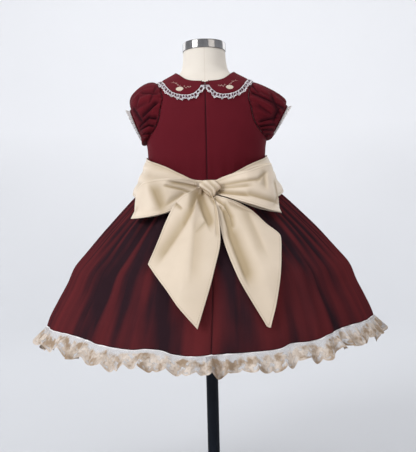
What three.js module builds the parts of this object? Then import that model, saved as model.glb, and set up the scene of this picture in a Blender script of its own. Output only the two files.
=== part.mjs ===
// A toddler's party dress, shown from behind on a limbless dress form that stands on a pole.
// Millimetres, +Z up. The origin is at the centre of the underside of the stand's foot.
// The dress's back, with its bow, faces -Y, and its wearer's left is at -X.
// A turn is an angle in degrees round Z: 0 at the centre back, 90 at +X, 180 at the centre front.
import * as THREE from 'three';

// Cloth and how closely the pieces lie
const CLOTH = 1.5;
const LACE = 1.0;
const SEAM = 0.3;
const EASE = 1.0;              // between the form and the bodice
const BODICE_OUT = EASE + CLOTH;
const FORM_INSET = 1.3;        // the form stays this far inside the body's curve

// Heights
const FORM_FOOT_Z = 500;
const WAIST_Z = 602;
const UNDERARM_Z = 676;
const NECK_BACK_Z = 765.7;
const NECK_FRONT_Z = 747;
const SHOULDER_TIP_Z = 770;
const NECK_TOP_Z = 829;
const HEM_Z = 369;             // on the whole; the cloth's edge waves, see HEM

// Collar
const COLLAR_END_TURN = 27;    // the stretch over which each end is rounded
const COLLAR_LACE_WIDTH = 9;
const COLLAR_LACE_WAVES = 14;

// Armhole, seen from the side
const ARMHOLE_MID_Z = 723;
const ARMHOLE_HALF_HEIGHT = 47;
const ARMHOLE_HALF_DEPTH = 60;
const ARMHOLE_LOW_SQUARE = 3; // below its middle it is squarer than an ellipse

// Puff sleeves: over and under say how far the cloth swells above and below the arm
const CUFF_RADIUS = 25.3;
const CUFF_LACE_FLARE = 2;
const SLEEVE_GATHERS = 12;
const CUFF_LACE_WAVES = 14;
const SLEEVES = [
  { side: -1, name: 'left', lip: [-126, 0, 704], facing: [-0.9, 0, -0.43], over: 29, under: 8 },
  { side: 1, name: 'right', lip: [133.5, 0, 706], facing: [0.84, 0, -0.54], over: 23, under: 0 },
];

// Skirt and its hem lace
const SKIRT_LEAN = 4;          // the skirt's middle hangs this far towards +X
const SKIRT_GATHERS = 24;
const HEM_LACE_DROP = 25;
const HEM_LACE_FLARE = 17;
const HEM_LACE_WAVES = 56;

// Stand
const POLE_RADIUS = 10.5;
const FOOT_RADIUS = 140;
const FOOT_HEIGHT = 12;
const HUB_RADIUS = 19;
const HUB_HEIGHT = 34;
const CAP_RADIUS = 37.5;
const CAP_TOP_Z = 844;

// The form's sections: half-width, half-depth, shift towards the front, and squareness
const BODY = [
  { z: 500, wide: 102, deep: 82, shift: 0, square: 2.2 },
  { z: 560, wide: 100, deep: 80, shift: 0, square: 2.2 },
  { z: 612, wide: 95, deep: 75, shift: 0, square: 2.2 },
  { z: 650, wide: 99, deep: 77, shift: 0, square: 2.3 },
  { z: 690, wide: 103, deep: 78, shift: 0, square: 2.4 },
  { z: 720, wide: 104, deep: 76, shift: 1, square: 2.4 },
  { z: 745, wide: 99, deep: 69, shift: 1, square: 2.3 },
  { z: 760, wide: 91, deep: 60, shift: 2, square: 2.2 },
  { z: 770, wide: 80.5, deep: 52, shift: 3, square: 2.1 },
  { z: 780, wide: 63, deep: 46, shift: 3, square: 2 },
  { z: 786, wide: 52.5, deep: 43.5, shift: 4, square: 2 },
  { z: 792, wide: 45, deep: 42, shift: 4, square: 2 },
  { z: 800, wide: 41, deep: 40, shift: 4, square: 2 },
  { z: 815, wide: 38.5, deep: 38.5, shift: 4, square: 2 },
  { z: 830, wide: 37.6, deep: 37.6, shift: 4, square: 2 },
];

// How far each of the form's rings is drawn in, to round its foot
const FORM_RINGS = [
  { z: 500, inset: 7 }, { z: 503, inset: 2 }, { z: 510, inset: 0 }, { z: 560, inset: 0 },
  { z: 612, inset: 0 }, { z: 650, inset: 0.2 }, { z: 676, inset: 1.7 }, { z: 700, inset: 0.3 },
  { z: 720, inset: 0 },
  { z: 745, inset: 0 }, { z: 760, inset: 0.2 }, { z: 770, inset: 1 }, { z: 780, inset: 1.1 },
  { z: 786, inset: 1.1 }, { z: 792, inset: 0.5 }, { z: 800, inset: 0 }, { z: 815, inset: 0 },
  { z: NECK_TOP_Z, inset: 0 },
];

// The collar's width by turn, before its ends are rounded
const COLLAR = [
  { turn: 0, width: 32 }, { turn: 22, width: 32.4 }, { turn: 33, width: 34.5 },
  { turn: 42, width: 37 }, { turn: 52, width: 34.5 }, { turn: 62, width: 31 },
  { turn: 90, width: 28 }, { turn: 108, width: 27 }, { turn: 135, width: 30 },
  { turn: 180, width: 36 },
];

// Neckline heights by turn from the centre back, and from the centre front
const NECKLINE = {
  back: [
    { turn: 0, z: NECK_BACK_Z }, { turn: 20, z: 767.3 }, { turn: 32, z: 771.3 },
    { turn: 42, z: 776.8 }, { turn: 52, z: 782 }, { turn: 70, z: 788 }, { turn: 90, z: 791.7 },
  ],
  front: [
    { turn: 0, z: NECK_FRONT_Z }, { turn: 20, z: 755 }, { turn: 45, z: 779 }, { turn: 90, z: 791.7 },
  ],
};

// The skirt's sections, and how deep its gathers are there
const SKIRT = [
  { z: 350, wide: 284, deep: 284, gather: 0 },
  { z: 380, wide: 276, deep: 276, gather: 0 },
  { z: 407, wide: 263, deep: 263, gather: 0 },
  { z: 436, wide: 247, deep: 246.5, gather: 0.2 },
  { z: 461, wide: 236, deep: 233, gather: 0.6 },
  { z: 486, wide: 215.5, deep: 208, gather: 1.2 },
  { z: 519, wide: 186, deep: 172, gather: 2 },
  { z: 550, wide: 156, deep: 136, gather: 2.2 },
  { z: 580, wide: 126, deep: 103, gather: 1.6 },
  { z: 592, wide: 112, deep: 90, gather: 1.4 },
  { z: 602, wide: 99.5, deep: 79, gather: 1 },
];
const SKIRT_ROWS = [WAIST_Z - SEAM, 592, 573, 540, 500, 461, 415, HEM_Z];

// The skirt's main folds: where each trough lies, its half-width and depth, and where it begins
const FOLDS = [
  { turn: -166, width: 8, depth: 6, top: 500 }, { turn: -148, width: 7, depth: 8, top: 530 },
  { turn: -129, width: 9, depth: 6, top: 480 }, { turn: -108, width: 7, depth: 8, top: 520 },
  { turn: -91, width: 8, depth: 5, top: 470 }, { turn: -72, width: 7, depth: 6, top: 540 },
  { turn: -45, width: 8, depth: 9, top: 550 }, { turn: -29, width: 6, depth: 6, top: 520 },
  { turn: -13, width: 6, depth: 7, top: 470 }, { turn: 4, width: 5, depth: 6, top: 450 },
  { turn: 14, width: 5, depth: 5, top: 430 }, { turn: 25, width: 5, depth: 6, top: 480 },
  { turn: 45, width: 8, depth: 9, top: 550 }, { turn: 69, width: 7, depth: 5, top: 500 },
  { turn: 88, width: 8, depth: 7, top: 530 }, { turn: 107, width: 7, depth: 6, top: 480 },
  { turn: 126, width: 8, depth: 8, top: 530 }, { turn: 146, width: 7, depth: 6, top: 490 },
  { turn: 170, width: 8, depth: 8, top: 520 },
];

// The height of the skirt's edge by turn
const HEM = [
  { turn: -180, z: 369 }, { turn: -135, z: 367 }, { turn: -90, z: 366 }, { turn: -75, z: 370 },
  { turn: -54, z: 377.5 }, { turn: -41, z: 375 }, { turn: -29, z: 370.6 }, { turn: -24, z: 370.3 },
  { turn: -18, z: 372.8 }, { turn: -14.5, z: 371.5 }, { turn: -10.5, z: 366.5 },
  { turn: -6, z: 365.3 }, { turn: 0, z: 366.5 }, { turn: 16, z: 368.3 }, { turn: 19, z: 369 },
  { turn: 23, z: 373.5 }, { turn: 28, z: 373 }, { turn: 36, z: 377 }, { turn: 46, z: 381 },
  { turn: 56, z: 382 }, { turn: 75, z: 377 }, { turn: 90, z: 373 }, { turn: 135, z: 371 },
  { turn: 180, z: 369 },
];

// The sash's sections, and its upper and lower edges by turn to either side
const SASH = [
  { z: 544, wide: 168, deep: 149, square: 2 },
  { z: 565, wide: 147, deep: 125, square: 2 },
  { z: 583, wide: 132.5, deep: 108, square: 2 },
  { z: 600, wide: 123.5, deep: 94, square: 2.1 },
  { z: 616, wide: 115.5, deep: 88, square: 2.3 },
  { z: 648, wide: 104.5, deep: 82.5, square: 2.4 },
  { z: 660, wide: 104.5, deep: 82.5, square: 2.4 },
];
const SASH_EDGES = [
  { turn: 0, top: 605, bottom: 579 }, { turn: 12, top: 606, bottom: 576 },
  { turn: 27, top: 616, bottom: 570 }, { turn: 40, top: 626, bottom: 568 },
  { turn: 54, top: 634, bottom: 573 },
  { turn: 90, top: 648, bottom: 586 }, { turn: 180, top: 650, bottom: 588 },
];
const SASH_PLEATS = 3;
const SASH_PLEAT_HEIGHT = 2;

// Bow: each loop's edges and how far it puffs out, from the knot to its far end.
// Its lower corner is shorter by the tuck, in degrees.
const KNOT = { at: [-1, -114.8, 593], half: [16, 11, 13], lean: 25, tilt: -36, square: 2.8 };
const LOOPS = [
  {
    name: 'left', root: -8, far: -49, tuck: 3,
    edges: [
      { along: 0, top: 600, bottom: 585, puff: 4.1 }, { along: 0.25, top: 606, bottom: 564, puff: 4 },
      { along: 0.5, top: 606, bottom: 552, puff: 7 }, { along: 0.8, top: 602, bottom: 546, puff: 11 },
      { along: 1, top: 588, bottom: 545, puff: 11 },
    ],
  },
  {
    name: 'right', root: 5.8, far: 49, tuck: 7,
    edges: [
      { along: 0, top: 600, bottom: 583, puff: 4.2 }, { along: 0.25, top: 609, bottom: 577, puff: 6 },
      { along: 0.5, top: 616, bottom: 567, puff: 10 }, { along: 0.8, top: 625, bottom: 556, puff: 12 },
      { along: 1, top: 628, bottom: 550, puff: 11 },
    ],
  },
];
const LOOP_OUT = 3.5;          // from what the loop lies on to its back layer
const LOOP_ROOT_OUT = -2.4;    // the same at the knot, where the sash has no pleats
const LOOP_STIFF = 0.35;       // how far the loop leans in with height
const LOOP_LOW_Z = 556;

// Bow tails: x and z of their two long edges, from the knot down to the point
const TAILS = [
  {
    name: 'left', out: 4, lift: 27.5,
    outer: [
      { x: -21, z: 590 }, { x: -49, z: 572 }, { x: -63, z: 542 }, { x: -75, z: 511 }, { x: -87, z: 481 },
    ],
    inner: [
      { x: -4, z: 575.5 }, { x: 8, z: 556 }, { x: 18, z: 515 }, { x: 7, z: 468 }, { x: -17, z: 401 },
    ],
    cut: [{ x: -87, z: 481 }, { x: -52, z: 440 }, { x: -17, z: 401 }],
  },
  {
    name: 'right', out: 2.4, lift: 8,
    outer: [
      { x: 13, z: 575 }, { x: 62, z: 558 }, { x: 107, z: 513 }, { x: 97, z: 465 }, { x: 79, z: 398 },
    ],
    inner: [
      { x: 6, z: 573 }, { x: 14, z: 545 }, { x: 21, z: 512 }, { x: 37, z: 467 }, { x: 74, z: 400 },
    ],
    cut: [{ x: 79, z: 398 }, { x: 76.5, z: 398.5 }, { x: 74, z: 400 }],
  },
];

const BURGUNDY = 0x5c2029;
const SLEEVE_RED = 0x521c24;
const SATEEN = 0xdcccb4;
const LACE_WHITE = 0xe6dfd8;
const LACE_BEIGE = 0xb8a893;

const radians = (degrees) => (degrees * Math.PI) / 180;
const degrees = (angle) => (angle * 180) / Math.PI;
const mix = (a, b, t) => a + (b - a) * t;
const smooth = (t) => {
  const s = Math.min(1, Math.max(0, t));
  return s * s * (3 - 2 * s);
};

// A smooth curve through one column of a table, with no overshoot between its rows
function through(table, key, column) {
  const rows = [...table].sort((p, q) => p[key] - q[key]);
  const x = rows.map((row) => row[key]);
  const y = rows.map((row) => row[column]);
  const slope = x.slice(1).map((value, i) => (y[i + 1] - y[i]) / (value - x[i]));
  const tangent = y.map((value, i) => {
    if (i === 0) return slope[0];
    if (i === y.length - 1) return slope[i - 1];
    if (slope[i - 1] * slope[i] <= 0) return 0;
    return (2 * slope[i - 1] * slope[i]) / (slope[i - 1] + slope[i]);
  });
  return (value) => {
    const last = x.length - 1;
    if (value <= x[0]) return y[0];
    if (value >= x[last]) return y[last];
    let i = 0;
    while (value > x[i + 1]) i += 1;
    const step = x[i + 1] - x[i];
    const t = (value - x[i]) / step;
    const rise = (t * t * (3 - 2 * t)) * (y[i + 1] - y[i]);
    return y[i] + rise + step * t * (1 - t) * ((1 - t) * tangent[i] - t * tangent[i + 1]);
  };
}

const group = new THREE.Group();

function add(name, geometry, color, roughness = 0.8, metalness = 0) {
  geometry.computeVertexNormals();
  const material = new THREE.MeshStandardMaterial({ color, roughness, metalness });
  const mesh = new THREE.Mesh(geometry, material);
  mesh.name = name;
  group.add(mesh);
}

// Six times the signed volume of a closed mesh
function signedVolume(points, faces) {
  let total = 0;
  for (const [a, b, c] of faces) {
    total += points[a].dot(new THREE.Vector3().crossVectors(points[b], points[c]));
  }
  return total;
}

function closedBody(points, faces) {
  const outward = signedVolume(points, faces) > 0;
  const geometry = new THREE.BufferGeometry().setFromPoints(points);
  geometry.setIndex(faces.flatMap(([a, b, c]) => (outward ? [a, b, c] : [a, c, b])));
  return geometry;
}

// A wall between two grids of points, closed at its free edges; round says that u meets itself
function wall(outer, inner, round = false) {
  const rows = outer.length;
  const columns = outer[0].length;
  const points = [...outer.flat(), ...inner.flat()];
  const place = (layer, j, i) => layer * rows * columns + j * columns + (i % columns);
  const faces = [];
  const quad = (a, b, c, d) => faces.push([a, b, c], [a, c, d]);
  const steps = round ? columns : columns - 1;
  for (let i = 0; i < steps; i += 1) {
    for (let j = 0; j < rows - 1; j += 1) {
      quad(place(0, j, i), place(0, j + 1, i), place(0, j + 1, i + 1), place(0, j, i + 1));
      quad(place(1, j, i), place(1, j, i + 1), place(1, j + 1, i + 1), place(1, j + 1, i));
    }
    const end = rows - 1;
    quad(place(0, 0, i), place(0, 0, i + 1), place(1, 0, i + 1), place(1, 0, i));
    quad(place(0, end, i), place(1, end, i), place(1, end, i + 1), place(0, end, i + 1));
  }
  if (!round) {
    const end = columns - 1;
    for (let j = 0; j < rows - 1; j += 1) {
      quad(place(0, j, 0), place(1, j, 0), place(1, j + 1, 0), place(0, j + 1, 0));
      quad(place(0, j, end), place(0, j + 1, end), place(1, j + 1, end), place(1, j, end));
    }
  }
  return closedBody(points, faces);
}

const grid = (us, vs, at) => vs.map((v) => us.map((u) => at(u, v)));
const spread = (from, to, steps) =>
  Array.from({ length: steps + 1 }, (_, i) => mix(from, to, i / steps));
const aroundRing = (steps) => Array.from({ length: steps }, (_, i) => (i * 360) / steps);

// The same grid moved in by the cloth's thickness, along the normals of its own points.
// The outside is on the left of u when v runs down; way turns it round.
function inside(points, thickness, round = false, way = 1) {
  const rows = points.length;
  const columns = points[0].length;
  return points.map((row, j) => row.map((point, i) => {
    const before = round ? (i + columns - 1) % columns : Math.max(0, i - 1);
    const after = round ? (i + 1) % columns : Math.min(columns - 1, i + 1);
    const along = new THREE.Vector3().subVectors(row[after], row[before]);
    const down = new THREE.Vector3().subVectors(
      points[Math.min(rows - 1, j + 1)][i],
      points[Math.max(0, j - 1)][i],
    );
    const normal = new THREE.Vector3().crossVectors(down, along).normalize();
    return point.clone().addScaledVector(normal, -thickness * way);
  }));
}

// Superellipse radius at a turn: |sin/wide|^n + |cos/deep|^n = 1 / radius^n
function sectionRadius(turn, wide, deep, square) {
  const s = Math.abs(Math.sin(radians(turn))) / wide;
  const c = Math.abs(Math.cos(radians(turn))) / deep;
  return (s ** square + c ** square) ** (-1 / square);
}

const fromAxis = (turn, radius, z, shift = 0) =>
  new THREE.Vector3(radius * Math.sin(radians(turn)), shift - radius * Math.cos(radians(turn)), z);

// The same for what follows the skirt, whose middle stands a little aside below the waist
function skirtLean(z) {
  const share = Math.min(1, Math.max(0, (WAIST_Z - z) / (WAIST_Z - HEM_Z)));
  return SKIRT_LEAN * Math.sin(Math.PI * share);
}
function fromSkirtAxis(turn, radius, z) {
  const point = fromAxis(turn, radius, z);
  point.x += skirtLean(z);
  return point;
}

const bodyWide = through(BODY, 'z', 'wide');
const bodyDeep = through(BODY, 'z', 'deep');
const bodyShift = through(BODY, 'z', 'shift');
const bodySquare = through(BODY, 'z', 'square');
const bodyRadius = (turn, z) => sectionRadius(turn, bodyWide(z), bodyDeep(z), bodySquare(z));
const bodySkin = (turn, z) => fromAxis(turn, bodyRadius(turn, z), z, bodyShift(z));

// A point of the body, moved out along the body's own normal
function onBody(turn, z, out) {
  const step = 0.5;
  const around = new THREE.Vector3().subVectors(bodySkin(turn + step, z), bodySkin(turn - step, z));
  const down = new THREE.Vector3().subVectors(bodySkin(turn, z - step), bodySkin(turn, z + step));
  const normal = new THREE.Vector3().crossVectors(down, around).normalize();
  return bodySkin(turn, z).addScaledVector(normal, out);
}

// Down the body from a height, by a length measured along the cloth
function downBody(turn, fromZ, length) {
  const step = 0.5;
  let z = fromZ;
  let gone = 0;
  while (gone < length) {
    gone += Math.hypot(step, bodyRadius(turn, z - step) - bodyRadius(turn, z));
    z -= step;
  }
  return z + (gone - length) * 0.5;
}

// The dress form, its cap and its stand
function dressForm() {
  const around = aroundRing(36);
  const rings = FORM_RINGS.map(({ z, inset }) =>
    around.map((turn) => fromAxis(turn, bodyRadius(turn, z) - inset - FORM_INSET, z, bodyShift(z))));
  const points = rings.flat();
  const foot = points.push(new THREE.Vector3(0, 0, FORM_FOOT_Z)) - 1;
  const top = points.push(new THREE.Vector3(0, bodyShift(NECK_TOP_Z), NECK_TOP_Z)) - 1;
  const faces = [];
  const count = around.length;
  const last = (rings.length - 1) * count;
  for (let i = 0; i < count; i += 1) {
    const next = (i + 1) % count;
    for (let j = 0; j < rings.length - 1; j += 1) {
      const low = j * count;
      const high = low + count;
      faces.push([low + i, low + next, high + next], [low + i, high + next, high + i]);
    }
    faces.push([foot, next, i], [top, last + i, last + next]);
  }
  return closedBody(points, faces);
}

function turned(profile, segments, shift = 0) {
  const outline = profile.map(([radius, height]) => new THREE.Vector2(radius, height));
  const geometry = new THREE.LatheGeometry(outline, segments);
  geometry.rotateX(Math.PI / 2);
  geometry.translate(0, shift, 0);
  geometry.deleteAttribute('uv');
  geometry.deleteAttribute('normal');
  return geometry;
}

add('form_torso', dressForm(), 0xf3ece2, 0.95);
const capFoot = NECK_TOP_Z + SEAM;
add('neck_cap', turned([
  [0, capFoot], [CAP_RADIUS - 0.8, capFoot], [CAP_RADIUS, capFoot + 0.8],
  [CAP_RADIUS, CAP_TOP_Z - 2.5], [CAP_RADIUS - 0.8, CAP_TOP_Z - 0.8],
  [CAP_RADIUS - 2.5, CAP_TOP_Z], [0, CAP_TOP_Z],
], 36, bodyShift(NECK_TOP_Z)), 0xc8c8ca, 0.15, 1);
const poleFoot = HUB_HEIGHT + SEAM;
add('stand_pole', turned([
  [0, poleFoot], [POLE_RADIUS, poleFoot], [POLE_RADIUS, FORM_FOOT_Z - SEAM],
  [0, FORM_FOOT_Z - SEAM],
], 20), 0x1f2229, 0.4, 0.6);
add('stand_base', turned([
  [0, 0], [FOOT_RADIUS, 0], [FOOT_RADIUS, 5], [FOOT_RADIUS - 3, 7], [HUB_RADIUS + 5, FOOT_HEIGHT],
  [HUB_RADIUS, FOOT_HEIGHT + 4], [HUB_RADIUS, HUB_HEIGHT - 2], [HUB_RADIUS - 2, HUB_HEIGHT],
  [0, HUB_HEIGHT],
], 40), 0x1f2229, 0.4, 0.6);

// Bodice panels: a half pattern is u from the centre line to the side, v from the waist up
const neckHeight = {
  back: through(NECKLINE.back, 'turn', 'z'),
  front: through(NECKLINE.front, 'turn', 'z'),
};
const SHOULDER_SHARE = 0.28;   // of the pattern's upper edge
const SIDE_SHARE = 0.34;       // of the pattern's outer edge, below the armhole

// The armhole's turn and height, angle 0 at the shoulder tip and 180 under the arm
function armhole(angle, shrink = 0) {
  const c = Math.cos(radians(angle));
  const power = c < 0 ? 2 / ARMHOLE_LOW_SQUARE : 1;
  const raised = (value) => Math.sign(value) * Math.abs(value) ** power;
  const y = (ARMHOLE_HALF_DEPTH - shrink) * raised(Math.sin(radians(angle)));
  const z = ARMHOLE_MID_Z + (ARMHOLE_HALF_HEIGHT - shrink) * raised(c);
  const n = bodySquare(z);
  const x = bodyWide(z) * (1 - Math.abs(y / bodyDeep(z)) ** n) ** (1 / n);
  return { turn: degrees(Math.atan2(x, y)), z };
}

const patternEdge = {
  centre: (v, face) => ({ turn: 0, z: mix(WAIST_Z, neckHeight[face](0), v) }),
  waist: (u) => ({ turn: 90 * u, z: WAIST_Z }),
  side: (v) => (v < SIDE_SHARE
    ? { turn: 90, z: mix(WAIST_Z, UNDERARM_Z, v / SIDE_SHARE) }
    : armhole(180 * (1 - (v - SIDE_SHARE) / (1 - SIDE_SHARE)))),
  even: (u, face) => ({ turn: 90 * u, z: neckHeight[face](90 * u) }),
  upper: (u, face) => {
    const t = u / (1 - SHOULDER_SHARE);
    if (t < 1) return { turn: 90 * t, z: neckHeight[face](90 * t) };
    const down = ((t - 1) * (1 - SHOULDER_SHARE)) / SHOULDER_SHARE;
    return { turn: 90, z: mix(neckHeight[face](90), SHOULDER_TIP_Z, down) };
  },
};

// The four edges blended over the panel; the shoulder seam is let in only near the top
function pattern(u, v, face) {
  const late = v ** 6;
  const even = patternEdge.even(u, face);
  const upper = patternEdge.upper(u, face);
  const centre = patternEdge.centre(v, face);
  const side = patternEdge.side(v);
  side.z += late * (neckHeight[face](90) - SHOULDER_TIP_Z);
  const waist = patternEdge.waist(u);
  const low = { turn: 90 * u, z: WAIST_Z };
  const high = { turn: 90 * u, z: mix(neckHeight[face](0), neckHeight[face](90), u) };
  const blended = (key) => mix(waist[key], even[key], v) + mix(centre[key], side[key], u)
    - mix(low[key], high[key], v) + late * (upper[key] - even[key]);
  return { turn: blended('turn'), z: blended('z') };
}

const SHOULDER_STOP = 1 - SHOULDER_SHARE;
const HALF_COLUMNS = [0, 0.12, 0.24, 0.36, 0.48, 0.6, SHOULDER_STOP, 0.86, 1];
const ARMHOLE_ROWS = 9;
const PANEL_ROWS = [0, 0.11, 0.22, ...spread(SIDE_SHARE, 1, ARMHOLE_ROWS)];
const CENTRE_GAP = 1.2;        // from the centre back to each panel's edge

function bodicePoint(u, v, face, side, out) {
  const { turn, z } = pattern(u, v, face);
  const radius = bodyRadius(turn, z);
  const centreGap = face === 'back' ? degrees(CENTRE_GAP / radius) * (1 - turn / 90) : 0;
  const sideGap = degrees(SEAM / 2 / radius) * (turn / 90);
  const own = turn + centreGap - sideGap;
  const whole = face === 'back' ? side * own : side * (180 - own);
  return onBody(whole, z, out);
}

for (const { side, name } of SLEEVES) {
  const panel = (out) => grid(HALF_COLUMNS, PANEL_ROWS, (u, v) => bodicePoint(u, v, 'back', side, out));
  add(`bodice_back_${name}`, wall(panel(BODICE_OUT), panel(EASE)), BURGUNDY);
}
const frontColumns = [...HALF_COLUMNS.slice(1).reverse().map((u) => -u), ...HALF_COLUMNS];
const frontPanel = (out) => grid(frontColumns, PANEL_ROWS, (u, v) =>
  bodicePoint(Math.abs(u), v, 'front', Math.sign(u) || 1, out));
add('bodice_front', wall(frontPanel(BODICE_OUT), frontPanel(EASE)), BURGUNDY);

// Concealed zip: its narrow line between the two back panels, and the slider's drop-shaped pull
const ZIP_HALF = CENTRE_GAP - SEAM;
const zipFace = (out) => grid([-ZIP_HALF, ZIP_HALF], spread(WAIST_Z + 2, NECK_BACK_Z - 1, 16), (x, z) =>
  onBody(degrees(x / bodyRadius(0, z)), z, out));
add('back_zip', wall(zipFace(BODICE_OUT - 0.4), zipFace(EASE)), 0x3a1219);
const PULL_HALF = 1.7;
const PULL_LENGTH = 9;
const pullFace = (out) => grid([-1, -0.5, 0.5, 1], spread(0, 1, 4), (x, v) => {
  const z = NECK_BACK_Z - 1.5 - PULL_LENGTH * v;
  return onBody(degrees((x * PULL_HALF * (0.55 + 0.45 * v)) / bodyRadius(0, z)), z, out);
});
add('zip_pull', wall(pullFace(BODICE_OUT + 1.7), pullFace(BODICE_OUT + SEAM)), 0x2a1a1e, 0.4, 0.5);

// Flat collar, each half from the centre back over the shoulder to the centre front
const COLLAR_OUT = BODICE_OUT + 0.9 + CLOTH;
const COLLAR_START = 5;
const collarNeck = (turn) => (turn < 90 ? neckHeight.back(turn) : neckHeight.front(180 - turn));
const fullCollar = through(COLLAR, 'turn', 'width');
function collarWidth(turn) {
  const end = Math.min(turn, 180 - turn) - COLLAR_START;
  const t = Math.min(1, Math.max(0, end / COLLAR_END_TURN));
  return fullCollar(turn) * (1 - (1 - t) ** 2.2) ** (1 / 2.2);
}
const COLLAR_NECK_LIFT = 1;
const collarTurns = [0.6, 2, 5, 10, 17, 25].flatMap((t) => [t, 180 - 2 * COLLAR_START - t])
  .concat(spread(35, 136, 9)).sort((p, q) => p - q).map((t) => t + COLLAR_START);
const collarPoint = (side, turn, share, out) => onBody(
  side * turn,
  downBody(turn, collarNeck(turn) - COLLAR_NECK_LIFT, share * collarWidth(turn)),
  out,
);

// The collar's lace: gathered, its waves standing out from the bodice
function collarLacePoint(side, turn, share, layer) {
  const step = 0.8;
  const width = collarWidth(turn);
  const rise = (collarWidth(turn + step) - collarWidth(turn - step)) / 2;
  const sideways = radians(step) * bodyRadius(turn, collarNeck(turn) - width);
  const slant = Math.hypot(rise, sideways);
  const reach = 2 * SEAM + share * COLLAR_LACE_WIDTH * smooth((width + 5) / 14);
  const outTurn = turn - degrees((reach * rise) / slant / bodyRadius(turn, collarNeck(turn) - width));
  const outWidth = width + (reach * sideways) / slant;
  const limit = 0.6;
  const safeTurn = Math.min(180 - limit, Math.max(limit, outTurn));
  const wave = share * 1.3 * Math.sin(radians(((turn - COLLAR_START) / (180 - 2 * COLLAR_START))
    * 360 * COLLAR_LACE_WAVES));
  const z = downBody(safeTurn, collarNeck(safeTurn) - COLLAR_NECK_LIFT, outWidth);
  return onBody(side * safeTurn, z, BODICE_OUT + 3.2 + wave - layer * LACE);
}
const laceTurns = spread(COLLAR_START + 1.2, 180 - COLLAR_START - 1.2, COLLAR_LACE_WAVES * 4);

for (const { side, name } of SLEEVES) {
  const face = (out) => grid(collarTurns, [0, 0.35, 0.7, 1], (turn, share) =>
    collarPoint(side, turn, share, out));
  add(`collar_${name}`, wall(face(COLLAR_OUT), face(COLLAR_OUT - CLOTH)), BURGUNDY);
  const lace = (layer) => grid(laceTurns, [0, 1], (turn, share) =>
    collarLacePoint(side, turn, share, layer));
  add(`collar_lace_${name}`, wall(lace(0), lace(1)), LACE_WHITE);
}

// Puff sleeves: each thread runs from the armhole to the cuff as a cubic curve that swells out
const SLEEVE_AROUND = aroundRing(36);
const CUFF_REACH = 9;          // cuff and lace, from the sleeve to the lip
const CUFF_REACH_LEAN = 3;     // longer on top of the arm, shorter under it
const SLEEVE_SEAM = 0.7;       // from the bodice's armhole edge to the sleeve
const CUFF_SHARE = 0.42;       // of that reach, the rest is lace

for (const { side, name, lip, facing, over, under } of SLEEVES) {
  const centre = new THREE.Vector3(...lip);
  const axis = new THREE.Vector3(...facing).normalize();
  const back = new THREE.Vector3(0, -1, 0);
  const up = new THREE.Vector3().crossVectors(back, axis).multiplyScalar(side);
  const reach = (angle) => CUFF_REACH + CUFF_REACH_LEAN * Math.cos(radians(angle));
  const radial = (angle) => up.clone().multiplyScalar(Math.cos(radians(angle)))
    .addScaledVector(back, Math.sin(radians(angle)));
  const cuffPoint = (angle, radius, share) => centre.clone().addScaledVector(radial(angle), radius)
    .addScaledVector(axis, -reach(angle) * share);
  const outward = new THREE.Vector3(side, 0, 0);
  const seamCorner = (angle) => {
    const { turn, z } = armhole(angle, SLEEVE_SEAM);
    return onBody(side * turn, z, BODICE_OUT);
  };
  const seamPoint = (angle) => {
    const step = 180 / ARMHOLE_ROWS;
    const before = Math.floor(angle / step) * step;
    return seamCorner(before).lerp(seamCorner(before + step), (angle - before) / step);
  };
  const sleevePoint = (angle, v) => {
    const top = Math.cos(radians(angle));
    const gather = Math.cos(radians(angle * SLEEVE_GATHERS));
    const start = seamPoint(angle);
    const end = cuffPoint(angle, CUFF_RADIUS, 1).addScaledVector(axis, -SEAM);
    const rise = new THREE.Vector3(0, -Math.sin(radians(angle)), top);
    const share = (top + 1) / 2;
    const first = start.clone()
      .addScaledVector(rise, mix(under + 2, over - 12, share) - 8 * (1 - top * top))
      .addScaledVector(outward, 12 + 12 * (1 - top * top));
    const second = end.clone().addScaledVector(radial(angle), mix(under, over, share))
      .addScaledVector(axis, 5 + 2 * top);
    const w = 1 - v;
    const point = start.clone().multiplyScalar(w ** 3).addScaledVector(first, 3 * w * w * v)
      .addScaledVector(second, 3 * w * v * v).addScaledVector(end, v ** 3);
    const swell = point.clone().sub(centre).setX(0).normalize();
    return point.addScaledVector(swell, gather * 1.2 * Math.sin(Math.PI * v));
  };
  const cloth = grid(SLEEVE_AROUND, [0, 0.16, 0.4, 0.65, 0.87, 1], sleevePoint);
  add(`sleeve_${name}`, wall(cloth, inside(cloth, CLOTH, true, -side), true), SLEEVE_RED);
  const cuffFace = (less) => grid(aroundRing(28), [1, 1 - CUFF_SHARE], (angle, share) =>
    cuffPoint(angle, CUFF_RADIUS - less, share));
  add(`cuff_${name}`, wall(cuffFace(0), cuffFace(CLOTH), true), SLEEVE_RED);
  const laceFace = (less) => grid(aroundRing(CUFF_LACE_WAVES * 3), [0, 1], (angle, v) => {
    const wave = Math.cos(radians(angle * CUFF_LACE_WAVES)) * mix(0.3, 1.6, v);
    const share = mix(1 - CUFF_SHARE - SEAM / reach(angle), 0, v);
    return cuffPoint(angle, CUFF_RADIUS + CUFF_LACE_FLARE * v + wave - less, share);
  });
  add(`cuff_lace_${name}`, wall(laceFace(0), laceFace(LACE), true), LACE_WHITE);
}

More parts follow.
